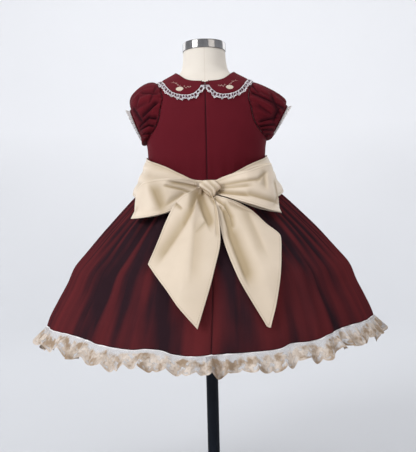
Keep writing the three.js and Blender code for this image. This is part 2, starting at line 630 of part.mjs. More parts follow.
// Skirt: a flared section with gathers at the waist that open into the main folds
const skirtWide = through(SKIRT, 'z', 'wide');
const skirtDeep = through(SKIRT, 'z', 'deep');
const gatherDepth = through(SKIRT, 'z', 'gather');
const skirtSection = (turn, z) => sectionRadius(turn, skirtWide(z), skirtDeep(z), 2);
function foldDepth(turn, z) {
  return FOLDS.reduce((sum, fold) => {
    const off = between(turn, fold.turn) / fold.width;
    const grown = smooth((fold.top - z) / 120);
    return sum + fold.depth * grown * Math.exp(-off * off);
  }, 0);
}
const FOLD_MEAN = 2.4;
function skirtRadius(turn, z) {
  const opened = smooth((540 - z) / 120) * FOLD_MEAN;
  const gather = gatherDepth(z) * Math.cos(radians(turn * SKIRT_GATHERS));
  return skirtSection(turn, z) + gather + opened - foldDepth(turn, z);
}
const PANEL_COLUMNS = 24;       // in a quarter turn of the skirt
const hemCurve = through(HEM, 'turn', 'z');
const between = (a, b) => ((a - b + 540) % 360) - 180;
function hemHeight(turn) {
  const step = 90 / PANEL_COLUMNS;
  const before = Math.floor(turn / step) * step;
  const at = (corner) => hemCurve(between(corner, 0));
  return mix(at(before), at(before + step), (turn - before) / step);
}
const skirtHeight = (turn, row) => {
  const share = (WAIST_Z - row) / (WAIST_Z - HEM_Z);
  return row + (hemHeight(turn) - HEM_Z) * smooth(share);
};
const SKIRT_PANELS = [
  { name: 'skirt_back_left', from: -90, to: 0 },
  { name: 'skirt_back_right', from: 0, to: 90 },
  { name: 'skirt_front', from: 90, to: 270 },
];
for (const { name, from, to } of SKIRT_PANELS) {
  const columns = (PANEL_COLUMNS * (to - from)) / 90;
  const turns = spread(from, to, columns);
  const middle = (from + to) / 2;
  const outer = grid(turns, SKIRT_ROWS, (turn, row) => {
    const z = skirtHeight(turn, row);
    const radius = skirtRadius(turn, z);
    const isEdge = turn === from || turn === to;
    const gap = isEdge ? degrees(SEAM / 2 / radius) * Math.sign(middle - turn) : 0;
    return fromSkirtAxis(turn + gap, radius, z);
  });
  const inner = inside(outer, CLOTH).map((row, j) => row.map((point, i) => {
    const level = point.clone();
    const { x, y } = outer[j][i];
    if (j === 0 || j === SKIRT_ROWS.length - 1) level.z = outer[j][i].z;
    if (i === 0 || i === columns) {
      const lean = skirtLean(outer[j][i].z);
      const shrink = Math.hypot(level.x - lean, level.y) / Math.hypot(x - lean, y);
      level.set(lean + shrink * (x - lean), shrink * y, level.z);
    }
    return level;
  }));
  add(name, wall(outer, inner), BURGUNDY);
}

// Hem lace: a gathered flounce below the skirt's edge
const hemLaceFace = (less) => grid(aroundRing(HEM_LACE_WAVES * 4), [0, 1], (turn, v) => {
  const wave = Math.cos(radians(turn * HEM_LACE_WAVES));
  const share = 0.9 + 0.2 * Math.abs(Math.sin(radians(turn))) + 0.04 * Math.sin(radians(turn * 7));
  const drop = HEM_LACE_DROP * share * v;
  const radius = skirtRadius(turn, hemHeight(turn)) + HEM_LACE_FLARE * v + wave * mix(0.6, 4.5, v);
  const z = hemHeight(turn) - 2 * SEAM - drop + 1.2 * wave * v;
  return fromSkirtAxis(turn, radius - less, z);
});
add('hem_lace', wall(hemLaceFace(0), hemLaceFace(LACE), true), LACE_BEIGE);

// Sash: one wide band round the waist, drawn together at the knot, with soft lengthwise pleats
const sashWide = through(SASH, 'z', 'wide');
const sashDeep = through(SASH, 'z', 'deep');
const sashTop = through(SASH_EDGES, 'turn', 'top');
const sashBottom = through(SASH_EDGES, 'turn', 'bottom');
const sashSquare = through(SASH, 'z', 'square');
const sashSection = (turn, z) => sectionRadius(turn, sashWide(z), sashDeep(z), sashSquare(z));
const sashFace = (less) => grid(aroundRing(40), spread(0, 1, SASH_PLEATS * 2), (turn, v) => {
  const away = Math.abs(between(turn, 0));
  const z = mix(sashTop(away), sashBottom(away), v);
  const ridge = Math.round(v * SASH_PLEATS * 2) % 2 ? SASH_PLEAT_HEIGHT * smooth(away / 30) : 0;
  return fromSkirtAxis(turn, sashSection(turn, z) + ridge - less, z);
});
add('sash', wall(sashFace(0), sashFace(CLOTH), true), SATEEN);

// What the bow lies on: the sash's or the skirt's outside, whichever is further out
const underBow = (turn, z) => Math.max(
  sashSection(turn, z) + SASH_PLEAT_HEIGHT,
  skirtSection(turn, z) + FOLD_MEAN + 2.2,
);

// Bow loops: a band that leaves the knot, turns back on itself and returns
for (const { name, root, far, tuck, edges } of LOOPS) {
  const top = through(edges, 'along', 'top');
  const bottom = through(edges, 'along', 'bottom');
  const puff = through(edges, 'along', 'puff');
  const way = Math.sign(far);
  const surface = grid(spread(24, 336, 20), spread(0, 1, 3), (angle, v) => {
    const along = (1 - Math.cos(radians(angle))) / 2;
    const turn = mix(root, far, along) - way * tuck * v * v * along;
    const z = mix(top(along), bottom(along), v);
    const leaning = underBow(turn, LOOP_LOW_Z) - LOOP_STIFF * (z - LOOP_LOW_Z);
    const rest = mix(underBow(turn, z), Math.max(underBow(turn, z), leaning), smooth(along * 2));
    const depth = puff(along) * (1 + Math.sin(radians(angle)));
    return fromSkirtAxis(turn, rest + mix(LOOP_ROOT_OUT, LOOP_OUT, smooth(along * 3)) + depth, z);
  });
  add(`bow_loop_${name}`, wall(surface, inside(surface, CLOTH, false, -way)), SATEEN);
}

// Knot: a short band drawn tight round the middle of the bow
function knot() {
  const geometry = new THREE.SphereGeometry(1, 20, 12);
  const corners = geometry.attributes.position;
  const corner = new THREE.Vector3();
  for (let i = 0; i < corners.count; i += 1) {
    corner.fromBufferAttribute(corners, i);
    const sum = corner.toArray().reduce((total, part) => total + Math.abs(part) ** KNOT.square, 0);
    corner.multiplyScalar(sum ** (-1 / KNOT.square));
    corners.setXYZ(i, ...corner.toArray());
  }
  geometry.scale(...KNOT.half);
  geometry.rotateY(radians(KNOT.lean));
  geometry.rotateX(radians(KNOT.tilt));
  geometry.translate(...KNOT.at);
  geometry.deleteAttribute('uv');
  geometry.deleteAttribute('normal');
  return geometry;
}
add('bow_knot', knot(), SATEEN);

// Bow tails: flat bands that fall from the knot over the skirt, their ends cut on the slant
for (const { name, out, lift, outer, inner, cut } of TAILS) {
  const along = (points) => {
    const rows = points.map((point, i) => ({ ...point, share: i / (points.length - 1) }));
    return { x: through(rows, 'share', 'x'), z: through(rows, 'share', 'z') };
  };
  const edge = { outer: along(outer), inner: along(inner), cut: along(cut) };
  const surface = grid(spread(0, 1, 6), spread(0, 1, 10), (u, v) => {
    const place = (key) => {
      const straight = mix(mix(outer[0][key], inner[0][key], u), edge.cut[key](u), v);
      const left = edge.outer[key](v) - mix(outer[0][key], cut[0][key], v);
      const right = edge.inner[key](v) - mix(inner[0][key], cut[2][key], v);
      return straight + mix(left, right, u);
    };
    const x = place('x');
    const z = place('z');
    const rest = out + lift * smooth((z - 515) / 75) * smooth((Math.abs(x) - 6) / 24);
    const across = x - skirtLean(z);
    let turn = degrees(Math.atan2(across, skirtDeep(z)));
    for (let i = 0; i < 12; i += 1) turn = degrees(Math.asin(across / (underBow(turn, z) + rest)));
    return fromSkirtAxis(turn, underBow(turn, z) + rest, z);
  });
  const way = Math.sign(inner[2].x - outer[2].x);
  add(`bow_tail_${name}`, wall(surface, inside(surface, CLOTH, false, way)), SATEEN);
}

export default group;
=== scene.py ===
import bmesh
import bpy
import numpy as np
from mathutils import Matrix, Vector


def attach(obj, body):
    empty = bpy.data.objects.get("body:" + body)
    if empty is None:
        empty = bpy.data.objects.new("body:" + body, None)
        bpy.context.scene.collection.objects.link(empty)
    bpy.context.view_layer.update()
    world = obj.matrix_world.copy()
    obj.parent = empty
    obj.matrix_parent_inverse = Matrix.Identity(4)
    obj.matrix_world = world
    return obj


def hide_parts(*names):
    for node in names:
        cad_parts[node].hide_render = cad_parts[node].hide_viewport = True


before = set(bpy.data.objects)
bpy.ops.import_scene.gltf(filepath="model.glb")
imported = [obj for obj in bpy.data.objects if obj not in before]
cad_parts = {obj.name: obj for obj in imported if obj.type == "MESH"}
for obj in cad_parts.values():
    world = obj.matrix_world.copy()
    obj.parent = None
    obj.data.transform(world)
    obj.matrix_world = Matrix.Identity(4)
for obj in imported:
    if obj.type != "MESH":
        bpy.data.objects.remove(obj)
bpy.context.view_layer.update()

# The dress form
# A limbless child's form: moulded board under tightly drawn linen, sewn down the centre back.
# It is worked out here in millimetres, in sections that are superellipses. A turn is an angle
# in degrees round Z, 0 at the centre back, 90 at +X and 180 at the centre front.
BODY = np.array(
    [
        (500, 102, 82, 0, 2.2), (560, 100, 80, 0, 2.2), (612, 95, 75, 0, 2.2),
        (650, 99, 77, 0, 2.3), (690, 103, 78, 0, 2.4), (720, 104, 76, 1, 2.4),
        (745, 99, 69, 1, 2.3), (760, 91, 60, 2, 2.2), (770, 80.5, 52, 3, 2.1),
        (780, 63, 46, 3, 2), (786, 52.5, 43.5, 4, 2), (792, 45, 42, 4, 2),
        (800, 41, 40, 4, 2), (815, 38.5, 38.5, 4, 2), (830, 37.6, 37.6, 4, 2),
    ],
    dtype=[(name, float) for name in ("z", "wide", "deep", "shift", "square")],
)
FORM_FOOT_Z = 500
NECK_TOP_Z = 829
FORM_INSET = 1.3
FORM_EDGE = {"height": 8, "share": 0.07}
LINEN = (0.80, 0.745, 0.665)
LINEN_SHADE = (0.70, 0.63, 0.54)


def through(table, column, value, key="z"):
    """A smooth curve through a table's column: cubics whose slope at a row is the harmonic mean
    of the slopes to either side, or 0 at a peak, so that it doesn't overshoot."""
    order = np.argsort(table[key])
    x, y = table[key][order], table[column][order]
    step = np.diff(x)
    slope = np.diff(y) / step
    before, after = slope[:-1], slope[1:]
    both = np.where(before * after > 0, before + after, np.inf)
    tangent = np.concatenate(([slope[0]], 2 * before * after / both, [slope[-1]]))
    value = np.clip(value, x[0], x[-1])
    i = np.clip(np.searchsorted(x, value, side="right") - 1, 0, len(step) - 1)
    t = (value - x[i]) / step[i]
    bend = (1 - t) * tangent[i] - t * tangent[i + 1]
    return y[i] + t * t * (3 - 2 * t) * (y[i + 1] - y[i]) + step[i] * t * (1 - t) * bend


def section(turn, wide, deep, square):
    """A superellipse's radius at a turn: |sin/wide|^n + |cos/deep|^n = 1/radius^n."""
    s = np.abs(np.sin(np.radians(turn))) / wide
    c = np.abs(np.cos(np.radians(turn))) / deep
    return (s**square + c**square) ** (-1 / square)


def polar(turn, radius, z, shift=0.0):
    """The points at a turn and radius from an axis that stands shift millimetres forward."""
    angle = np.radians(turn)
    spread = (radius * np.sin(angle), shift - radius * np.cos(angle), z + 0 * angle)
    return np.stack(np.broadcast_arrays(*spread), axis=-1)


def body_radius(turn, z):
    """The form's radius at a turn and height, through its table of sections."""
    return section(turn, *(through(BODY, name, z) for name in ("wide", "deep", "square")))


def made_of(name, points, ring=False, flip=False, thick=0.0, fields=None, merge=False):
    """A piece whose faces are the cells of points[row, column], given in millimetres.
    Rows run down and columns with the turn, or flip turns the faces round; ring joins the last
    column to the first. UV is the cloth's own length in metres, the mean along each row and
    column, and the attribute edge is the distance to the nearest free edge in millimetres."""
    rows, columns = points.shape[:2]
    number = np.arange(rows * columns).reshape(rows, columns)
    loop = np.hstack([number, number[:, :1]]) if ring else number
    places = np.concatenate([points, points[:, :1]], axis=1) if ring else points
    run = np.linalg.norm(np.diff(places, axis=1), axis=2)
    fall = np.linalg.norm(np.diff(points, axis=0), axis=2)
    across = np.concatenate(([0], np.cumsum(run.mean(axis=0))))
    down = np.concatenate(([0], np.cumsum(fall.mean(axis=1))))
    cells = [(0, 0), (1, 0), (1, 1), (0, 1)]
    if flip:
        cells.reverse()
    high, wide = loop.shape
    pick = [(slice(j, high - 1 + j), slice(i, wide - 1 + i)) for j, i in cells]
    faces = np.stack([loop[cut] for cut in pick], axis=-1).reshape(-1, 4)
    flat = np.stack(np.meshgrid(across, down), axis=-1) * 0.001
    corners = np.stack([flat[cut] for cut in pick], axis=2).reshape(-1, 2)

    mesh = bpy.data.meshes.new(name)
    mesh.from_pydata((points.reshape(-1, 3) * 0.001).tolist(), [], faces.tolist())
    mesh.polygons.foreach_set("use_smooth", np.ones(len(faces), dtype=bool))
    mesh.uv_layers.new(name="cloth").data.foreach_set("uv", corners.ravel())
    level = np.vstack([np.zeros(columns), np.cumsum(fall, axis=0)])
    edge = np.minimum(level, level[-1] - level)
    if not ring:
        length = np.hstack([np.zeros((rows, 1)), np.cumsum(run, axis=1)])
        edge = np.minimum(edge, np.minimum(length, length[:, -1:] - length))
    for field, values in {"edge": edge, **(fields or {})}.items():
        spread = np.broadcast_to(values, (rows, columns)).astype(np.float32)
        mesh.attributes.new(field, "FLOAT", "POINT").data.foreach_set("value", spread.ravel())
    if merge:
        shape = bmesh.new()
        shape.from_mesh(mesh)
        bmesh.ops.remove_doubles(shape, verts=shape.verts, dist=1e-6)
        shape.to_mesh(mesh)
        shape.free()
    piece = bpy.data.objects.new(name, mesh)
    bpy.context.scene.collection.objects.link(piece)
    if thick:
        wall = piece.modifiers.new("cloth thickness", "SOLIDIFY")
        wall.thickness = thick * 0.001
        wall.offset = -1
    return piece


class Wire:
    """A socket in a material's nodes. The signs + - * / on wires and numbers add Math nodes."""

    def __init__(self, tree, socket=None):
        self.tree = tree
        self.socket = socket

    def add(self, kind, inputs=None, out=0, stops=None, **settings):
        """A new node with its settings, its ramp's stops and then its inputs; gives one output."""
        made = self.tree.nodes.new("ShaderNode" + kind)
        for name, value in settings.items():
            setattr(made, name, value)
        for index, (place, colour) in enumerate(stops or ()):
            ramp = made.color_ramp.elements
            stop = ramp[index] if index < len(ramp) else ramp.new(place)
            stop.position = place
            stop.color = (*colour, 1)
        for name, value in (inputs or {}).items():
            if isinstance(value, Wire):
                self.tree.links.new(value.socket, made.inputs[name])
            else:
                made.inputs[name].default_value = value
        return Wire(self.tree, made.outputs[out])

    def maths(self, operation, *values):
        """A Math node on these values."""
        return self.add("Math", dict(enumerate(values)), operation=operation)

    def __add__(self, other):
        return self.maths("ADD", self, other)

    def __radd__(self, other):
        return self.maths("ADD", other, self)

    def __sub__(self, other):
        return self.maths("SUBTRACT", self, other)

    def __rsub__(self, other):
        return self.maths("SUBTRACT", other, self)

    def __mul__(self, other):
        return self.maths("MULTIPLY", self, other)

    def __rmul__(self, other):
        return self.maths("MULTIPLY", other, self)

    def __truediv__(self, other):
        return self.maths("DIVIDE", self, other)

    def __rtruediv__(self, other):
        return self.maths("DIVIDE", other, self)

    def between(self, low, high):
        """0 below low, 1 above high and straight between; low may be the larger one."""
        share = (self - low) / (high - low)
        return share.maths("MINIMUM", share.maths("MAXIMUM", share, 0.0), 1.0)

    def field(self, name):
        """One of the piece's own attributes, as a number."""
        return self.add("Attribute", out="Fac", attribute_name=name)

    def parts(self, vector):
        """A vector's three numbers."""
        split = self.add("SeparateXYZ", {0: vector})
        return [Wire(self.tree, socket) for socket in split.socket.node.outputs]

    def cloth(self):
        """The piece's own UV map, whose numbers are metres of cloth."""
        return self.add("UVMap", uv_map="cloth")

    def place(self):
        """Where a point of the piece is, in metres."""
        return self.add("TexCoord", out="Object")

    def clouds(self, where, scale, detail=2.0):
        """Soft noise from 0 to 1, with about scale bumps to a metre."""
        return self.add("TexNoise", {"Vector": where, "Scale": scale, "Detail": detail})

    def blend(self, share, first, second):
        """A colour that goes from the first to the second with share."""
        inputs = {"Factor": share, 6: self.colour(first), 7: self.colour(second)}
        return self.add("Mix", inputs, out=2, data_type="RGBA")

    def colour(self, value):
        """A colour with its fourth number, or the wire that was given."""
        return value if isinstance(value, Wire) else (*value, 1)

    def relief(self, height, distance, strength=1.0):
        """A bump from a height that spans 0 to 1, distance metres high."""
        inputs = {"Height": height, "Distance": distance, "Strength": strength}
        return self.add("Bump", inputs, out="Normal")

    def weave(self, pitch):
        """A plain weave: the product of two sines across the cloth's own directions."""
        x, y, _ = self.parts(self.cloth())
        turns = 2 * np.pi / pitch
        warp = self.maths("SINE", x * turns)
        weft = self.maths("SINE", y * turns)
        return warp * weft * 0.5 + 0.5


def finish_for(name, constants, recipe):
    """A material: constants go on the shader's own sockets, and recipe gives what changes."""
    made = bpy.data.materials.new(name)
    made.use_nodes = True
    shader = made.node_tree.nodes["Principled BSDF"]
    for socket, value in constants.items():
        shader.inputs[socket].default_value = value
    for socket, wire in recipe(Wire(made.node_tree)).items():
        made.node_tree.links.new(wire.socket, shader.inputs[socket])
    return made


def set_up(piece, finish, slot, *nodes):
    """Gives a piece its finish, hangs it from the root, and hides the solids it stands for. The slot
    is not used.
    """
    piece.data.materials.append(finish)
    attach(piece, "root")
    if nodes:
        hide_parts(*nodes)


def linen(wire):
    """Tight linen: thick and thin threads, and a fine sunk seam down the back and the front."""
    x, y, _ = wire.parts(wire.place())
    threads = wire.weave(0.0011)
    slubs = wire.clouds(wire.place(), 900.0)
    seam = 1 - (wire.maths("ABSOLUTE", x) * 1000).between(0.25, 0.9)
    shade = wire.clouds(wire.place(), 35.0) * 0.25 + slubs * 0.15 + seam * 0.6
    return {
        "Base Color": wire.blend(shade, LINEN, LINEN_SHADE),
        "Normal": wire.relief(threads * 0.5 + slubs * 0.5 - seam * 1.5, 0.00018, 0.7),
    }


linen_cover = finish_for("linen cover", {"Roughness": 0.9, "Specular IOR Level": 0.2}, linen)

rounding = np.radians(np.linspace(0, 90, 6))
form_rows = np.concatenate(
    [np.full(9, NECK_TOP_Z), np.linspace(NECK_TOP_Z, FORM_FOOT_Z + FORM_EDGE["height"], 120),
     FORM_FOOT_Z + FORM_EDGE["height"] * (1 - np.sin(rounding)), np.full(8, FORM_FOOT_Z)]
)
form_share = np.concatenate(
    [np.linspace(0, 1, 9), np.ones(120), 1 - FORM_EDGE["share"] * (1 - np.cos(rounding)),
     np.linspace(1 - FORM_EDGE["share"], 0, 9)[1:]]
)
form_turns, form_z = np.meshgrid(np.arange(0, 360, 2.5), form_rows)
form_radius = (body_radius(form_turns, form_z) - FORM_INSET) * form_share[:, None]
form_points = polar(form_turns, form_radius, form_z, through(BODY, "shift", form_z))
form = made_of("form", form_points, ring=True, merge=True)
set_up(form, linen_cover, "form_linen", "form_torso")

# The stand
# A polished steel cap closes the neck, and a dark painted pole comes up into the form from a
# round foot with a turned hub. All three are turned on a lathe, their corners softly broken.
CAP = {"radius": 37.5, "foot": 829.3, "top": 844, "round": 2.2}
POLE_RADIUS = 10.5
HUB = {"radius": 19, "top": 34}
FOOT_RADIUS = 140
STEEL = (0.285, 0.28, 0.275)
STAND_PAINT = (0.0055, 0.0075, 0.0120)


def lathe(name, profile, shift=0.0, around=128):
    """A turned piece: the profile's (radius, height) pairs carried round the axis, top first."""
    radius, height = np.array(profile, dtype=float).T
    turns, rows = np.meshgrid(np.arange(around) * 360 / around, np.arange(len(radius)))
    return made_of(name, polar(turns, radius[rows], height[rows], shift), ring=True, merge=True)


def corner(radius, height, round_off, start, end, steps=6):
    """A rounded corner of a profile: an arc round (radius, height) from start to end degrees."""
    angle = np.radians(np.linspace(start, end, steps))
    return list(zip(radius + round_off * np.sin(angle), height + round_off * np.cos(angle)))


def steel(wire):
    """Polished steel with faint turning lines and a few soft smears."""
    smear = wire.clouds(wire.place(), 60.0, 4.0)
    _, _, height = wire.parts(wire.place())
    lines = wire.maths("SINE", height * (2 * np.pi / 0.0007))
    return {
        "Roughness": smear * 0.12 + 0.07,
        "Normal": wire.relief(lines, 0.000006, 0.3),
    }


def stand_paint(wire):
    """Smooth dark paint, a little uneven in its gloss."""
    cloud = wire.clouds(wire.place(), 40.0, 5.0)
    grain = wire.clouds(wire.place(), 1400.0)
    return {
        "Base Color": wire.blend(cloud, STAND_PAINT, [value * 1.7 for value in STAND_PAINT]),
        "Roughness": cloud * 0.15 + 0.45,
        "Normal": wire.relief(grain, 0.00002, 0.4),
    }


polished_steel = finish_for("polished steel", {"Base Color": (*STEEL, 1), "Metallic": 1.0}, steel)
dark_paint = finish_for("dark satin paint", {"Specular IOR Level": 0.12}, stand_paint)

neck_shift = through(BODY, "shift", NECK_TOP_Z)
cap_edge = CAP["radius"] - CAP["round"]
cap = lathe(
    "cap",
    [(0, CAP["top"]), (cap_edge - 6, CAP["top"]), (cap_edge - 1.5, CAP["top"])]
    + corner(cap_edge, CAP["top"] - CAP["round"], CAP["round"], 0, 90)
    + [(CAP["radius"], 838), (CAP["radius"], 833)]
    + corner(CAP["radius"] - 0.7, CAP["foot"] + 0.7, 0.7, 90, 180)
    + [(cap_edge - 8, CAP["foot"]), (0, CAP["foot"])],
    neck_shift,
)
set_up(cap, polished_steel, "polished_cap", "neck_cap")
pole_top, pole_foot = FORM_FOOT_Z - 0.3, HUB["top"] + 0.3
pole = lathe(
    "pole",
    [(0, pole_top), (POLE_RADIUS - 0.6, pole_top), (POLE_RADIUS, pole_top - 0.6)]
    + [(POLE_RADIUS, height) for height in (420, 300, 180, 60)]
    + [(POLE_RADIUS, pole_foot + 0.7), (POLE_RADIUS - 0.5, pole_foot), (0, pole_foot)],
)
set_up(pole, dark_paint, "stand_paint", "stand_pole")
foot = lathe(
    "foot",
    [(0, HUB["top"]), (POLE_RADIUS + 2, HUB["top"])]
    + corner(HUB["radius"] - 2, HUB["top"] - 2, 2, 0, 90)
    + [(HUB["radius"], 24), (HUB["radius"], 18)]
    + corner(HUB["radius"] + 7, 18.8, -7, 90, 0)
    + [(60, 9.9), (100, 8.2), (FOOT_RADIUS - 6, 6.9)]
    + corner(FOOT_RADIUS - 3, 3.8, 3, 0, 90)
    + [(FOOT_RADIUS, 1)]
    + corner(FOOT_RADIUS - 1, 1, 1, 90, 180)
    + [(90, 0), (0, 0)],
)
set_up(foot, dark_paint, "stand_paint", "stand_base")

# The bodice
# A close bodice of soft burgundy cloth, cut as one front and two backs, and sewn at the
# shoulders and sides. Each half is a pattern piece laid on the form: u goes from the centre
# line to the side and v from the waist up, and the cloth's edges are turned in at the zip.
CLOTH = 1.3
BODICE_OUT = 2.5
WAIST_Z = 602
UNDERARM_Z = 676
SHOULDER_TIP_Z = 770
NECKLINE = {
    "back": np.array(
        [(0, 765.7), (20, 767.3), (32, 771.3), (42, 776.8), (52, 782), (70, 788), (90, 791.7)],
        dtype=[("turn", float), ("z", float)],
    ),
    "front": np.array(
        [(0, 747), (20, 755), (45, 779), (90, 791.7)], dtype=[("turn", float), ("z", float)]
    ),
}
ARMHOLE = {"mid": 723, "half_height": 47, "half_depth": 60, "low_square": 3}
SHOULDER_SHARE = 0.28
SIDE_SHARE = 0.34
ZIP_GAP = 0.35
BURGUNDY = (0.122, 0.0095, 0.0165)
# The deep burgundy is both a deeper dye in a faint cloud and painted shade at seams and in folds.
BURGUNDY_DYE_AND_SHADE = (0.082, 0.0065, 0.0125)


def smooth(t):
    """The S-shaped step 3t^2 - 2t^3, flat outside 0 to 1."""
    t = np.clip(t, 0, 1)
    return t * t * (3 - 2 * t)


def mix(a, b, t):
    """The straight blend a + (b - a) t."""
    return a + (b - a) * t


def body(turn, z, out=0.0):
    """The form's surface moved out along its own normal, the cross product of its two slopes."""
    step = 0.5

    def skin(angle, height):
        return polar(angle, body_radius(angle, height), height, through(BODY, "shift", height))

    sideways = skin(turn + step, z) - skin(turn - step, z)
    downward = skin(turn, z - step) - skin(turn, z + step)
    normal = np.cross(downward, sideways)
    normal /= np.linalg.norm(normal, axis=-1, keepdims=True)
    return skin(turn, z) + normal * np.asarray(out)[..., None]


def neck_height(turn, face):
    """The neckline's height at a turn from the centre back or from the centre front."""
    return through(NECKLINE[face], "z", turn, key="turn")


def armhole(angle, shrink=0.0):
    """The armhole's turn and height: an ellipse seen from the side, squarer in its lower half, laid
    on the form. The angle is 0 at the shoulder and 180 under the arm."""
    across, up = np.sin(np.radians(angle)), np.cos(np.radians(angle))
    power = np.where(up < 0, 2 / ARMHOLE["low_square"], 1.0)
    y = (ARMHOLE["half_depth"] - shrink) * np.sign(across) * np.abs(across) ** power
    z = ARMHOLE["mid"] + (ARMHOLE["half_height"] - shrink) * np.sign(up) * np.abs(up) ** power
    n = through(BODY, "square", z)
    x = through(BODY, "wide", z) * (1 - np.abs(y / through(BODY, "deep", z)) ** n) ** (1 / n)
    return np.degrees(np.arctan2(x, y)), z


def bodice_pattern(u, v, face):
    """Turn and height of a pattern point: its four edges blended across the piece, less the
    blend of its corners. The shoulder seam comes in with the sixth power of v."""
    late = v**6
    neck_side = neck_height(90, face)
    along = u / (1 - SHOULDER_SHARE)
    drop = np.clip((along - 1) * (1 - SHOULDER_SHARE) / SHOULDER_SHARE, 0, 1)
    upper_turn = np.minimum(90 * along, 90)
    upper_z = np.where(
        along < 1,
        neck_height(upper_turn, face),
        mix(neck_side, SHOULDER_TIP_Z, drop),
    )
    arm_turn, arm_z = armhole(180 * (1 - np.clip((v - SIDE_SHARE) / (1 - SIDE_SHARE), 0, 1)))
    below = v < SIDE_SHARE
    side_turn = np.where(below, 90, arm_turn)
    side_z = np.where(below, mix(WAIST_Z, UNDERARM_Z, v / SIDE_SHARE), arm_z)
    side_z = side_z + late * (neck_side - SHOULDER_TIP_Z)
    even_turn, even_z = 90 * u, neck_height(90 * u, face)
    centre_z = mix(WAIST_Z, neck_height(0, face), v)
    corners_z = mix(WAIST_Z, mix(neck_height(0, face), neck_side, u), v)
    turn = mix(90 * u, even_turn, v) + u * side_turn - 90 * u + late * (upper_turn - even_turn)
    z = mix(WAIST_Z, even_z, v) + mix(centre_z, side_z, u) - corners_z + late * (upper_z - even_z)
    return turn, z


def bodice_half(face, side, centre_gap):
    """One half of the bodice: its pattern laid over the form, with faint draws in the cloth
    that spread from under the arm, and the centre back edge rolled in at the zip."""
    shoulder = 1 - SHOULDER_SHARE
    u = np.concatenate([np.linspace(0, 0.03, 6), np.linspace(0.03, shoulder, 42)[1:],
                        np.linspace(shoulder, 1, 17)[1:]])
    v = np.concatenate([np.linspace(0, SIDE_SHARE, 34), np.linspace(SIDE_SHARE, 1, 72)[1:]])
    u, v = np.meshgrid(u, v[::-1])
    turn, z = bodice_pattern(u, v, face)
    radius = body_radius(turn, z)
    gap = np.degrees(centre_gap / radius) * (1 - turn / 90) - np.degrees(0.12 / radius) * turn / 90
    from_arm = np.hypot((turn - 78) * 1.6, z - 690)
    draws = 0.45 * np.sin(0.12 * (z + 1.3 * turn)) * np.exp(-((from_arm - 30) ** 2) / 1800)
    waist = 0.35 * np.sin(turn * 0.42 + 1.1 * side) * smooth((670 - z) / 60)
    roll = 0.0
    if face == "back":
        roll = 0.9 * np.exp(-((radius * np.radians(turn) / 1.3) ** 2))
    whole = side * (turn + gap) if face == "back" else side * (180 - turn - gap)
    return body(whole, z, BODICE_OUT + draws + waist - roll)


def burgundy(wire, base, deep, fold=0.0):
    """Soft plain cloth: its weave, a faint cloud of deeper dye, and painted shade at its seams and
    edges and in its folds.
    """
    edge = wire.field("edge")
    seam = 1 - edge.between(0.3, 2.2)
    x, y, _ = wire.parts(wire.cloth())
    stitches = wire.maths("SINE", (x + y) * (2 * np.pi / 0.0026)) * 0.5 + 0.5
    pucker = stitches * (1 - edge.between(1.0, 4.5)) * 0.35
    cloud = wire.clouds(wire.place(), 28.0, 3.0)
    fuzz = wire.clouds(wire.place(), 1600.0)
    threads = wire.weave(0.0006)
    # seam and fold are painted shade; cloud and fuzz are the dye's own unevenness.
    shade = cloud * 0.45 + seam * 0.55 + fuzz * 0.2 + fold - 0.1
    return {
        "Base Color": wire.blend(shade, base, deep),
        "Roughness": fuzz * 0.12 + 0.68,
        "Normal": wire.relief(threads * 0.5 + fuzz * 0.4 + pucker - seam * 0.8, 0.00022, 0.8),
    }


CLOTH_CONSTANTS = {
    "Specular IOR Level": 0.06, "Sheen Weight": 0.02, "Sheen Roughness": 0.45,
    "Sheen Tint": (0.55, 0.16, 0.18, 1),
}
bodice_cloth = finish_for(
    "burgundy bodice cloth", CLOTH_CONSTANTS, lambda wire: burgundy(wire, BURGUNDY, BURGUNDY_DYE_AND_SHADE)
)

for side, name in ((-1, "left"), (1, "right")):
    panel = made_of(
        f"back_panel_{name}", bodice_half("back", side, ZIP_GAP), flip=side < 0, thick=CLOTH
    )
    set_up(panel, bodice_cloth, "burgundy_cloth", f"bodice_back_{name}")
front_left, front_right = (bodice_half("front", side, 0) for side in (-1, 1))
front_points = np.concatenate([front_right[:, ::-1], front_left[:, 1:]], axis=1)
front_panel = made_of("front_panel", front_points, thick=CLOTH)
set_up(front_panel, bodice_cloth, "burgundy_cloth", "bodice_front")

# The zip
# A concealed zip closes the back. Its fine coil lies under the two rolled edges, and its small
# drop-shaped pull hangs at the top, just below the collar.
ZIP = {"low": 604, "high": 764.7, "half": 0.85, "pitch": 1.1}
PULL = {"top": 763.8, "length": 8.6, "half": 1.6, "thick": 0.6, "out": 1.1}
ZIP_DARK = (0.014, 0.0035, 0.0055)
PULL_METAL = (0.05, 0.018, 0.022)
PULL_WORN = (0.11, 0.06, 0.06)

zip_z, zip_x = np.meshgrid(
    np.arange(ZIP["high"], ZIP["low"], -ZIP["pitch"] / 4), np.linspace(-1, 1, 5), indexing="ij"
)
coil = 0.28 * np.abs(np.sin(np.pi * zip_z / ZIP["pitch"])) * (1 - zip_x**2)
zip_turn = np.degrees(zip_x * ZIP["half"] / body_radius(0, zip_z))
zip_strip = made_of("zip_coil", body(zip_turn, zip_z, BODICE_OUT - 0.9 + coil), thick=0.4)


def zip_tape(wire):
    """Dark woven tape and nylon coil."""
    fuzz = wire.clouds(wire.place(), 1500.0)
    return {
        "Base Color": wire.blend(fuzz, ZIP_DARK, [value * 2 for value in ZIP_DARK]),
        "Normal": wire.relief(wire.weave(0.0005), 0.0001, 0.6),
    }


def pull_metal(wire):
    """A lacquered metal pull, a little worn in soft patches."""
    cloud = wire.clouds(wire.place(), 700.0, 3.0)
    return {
        "Base Color": wire.blend(cloud, PULL_METAL, PULL_WORN),
        "Roughness": cloud * 0.2 + 0.25,
        "Normal": wire.relief(cloud, 0.00003, 0.5),
    }


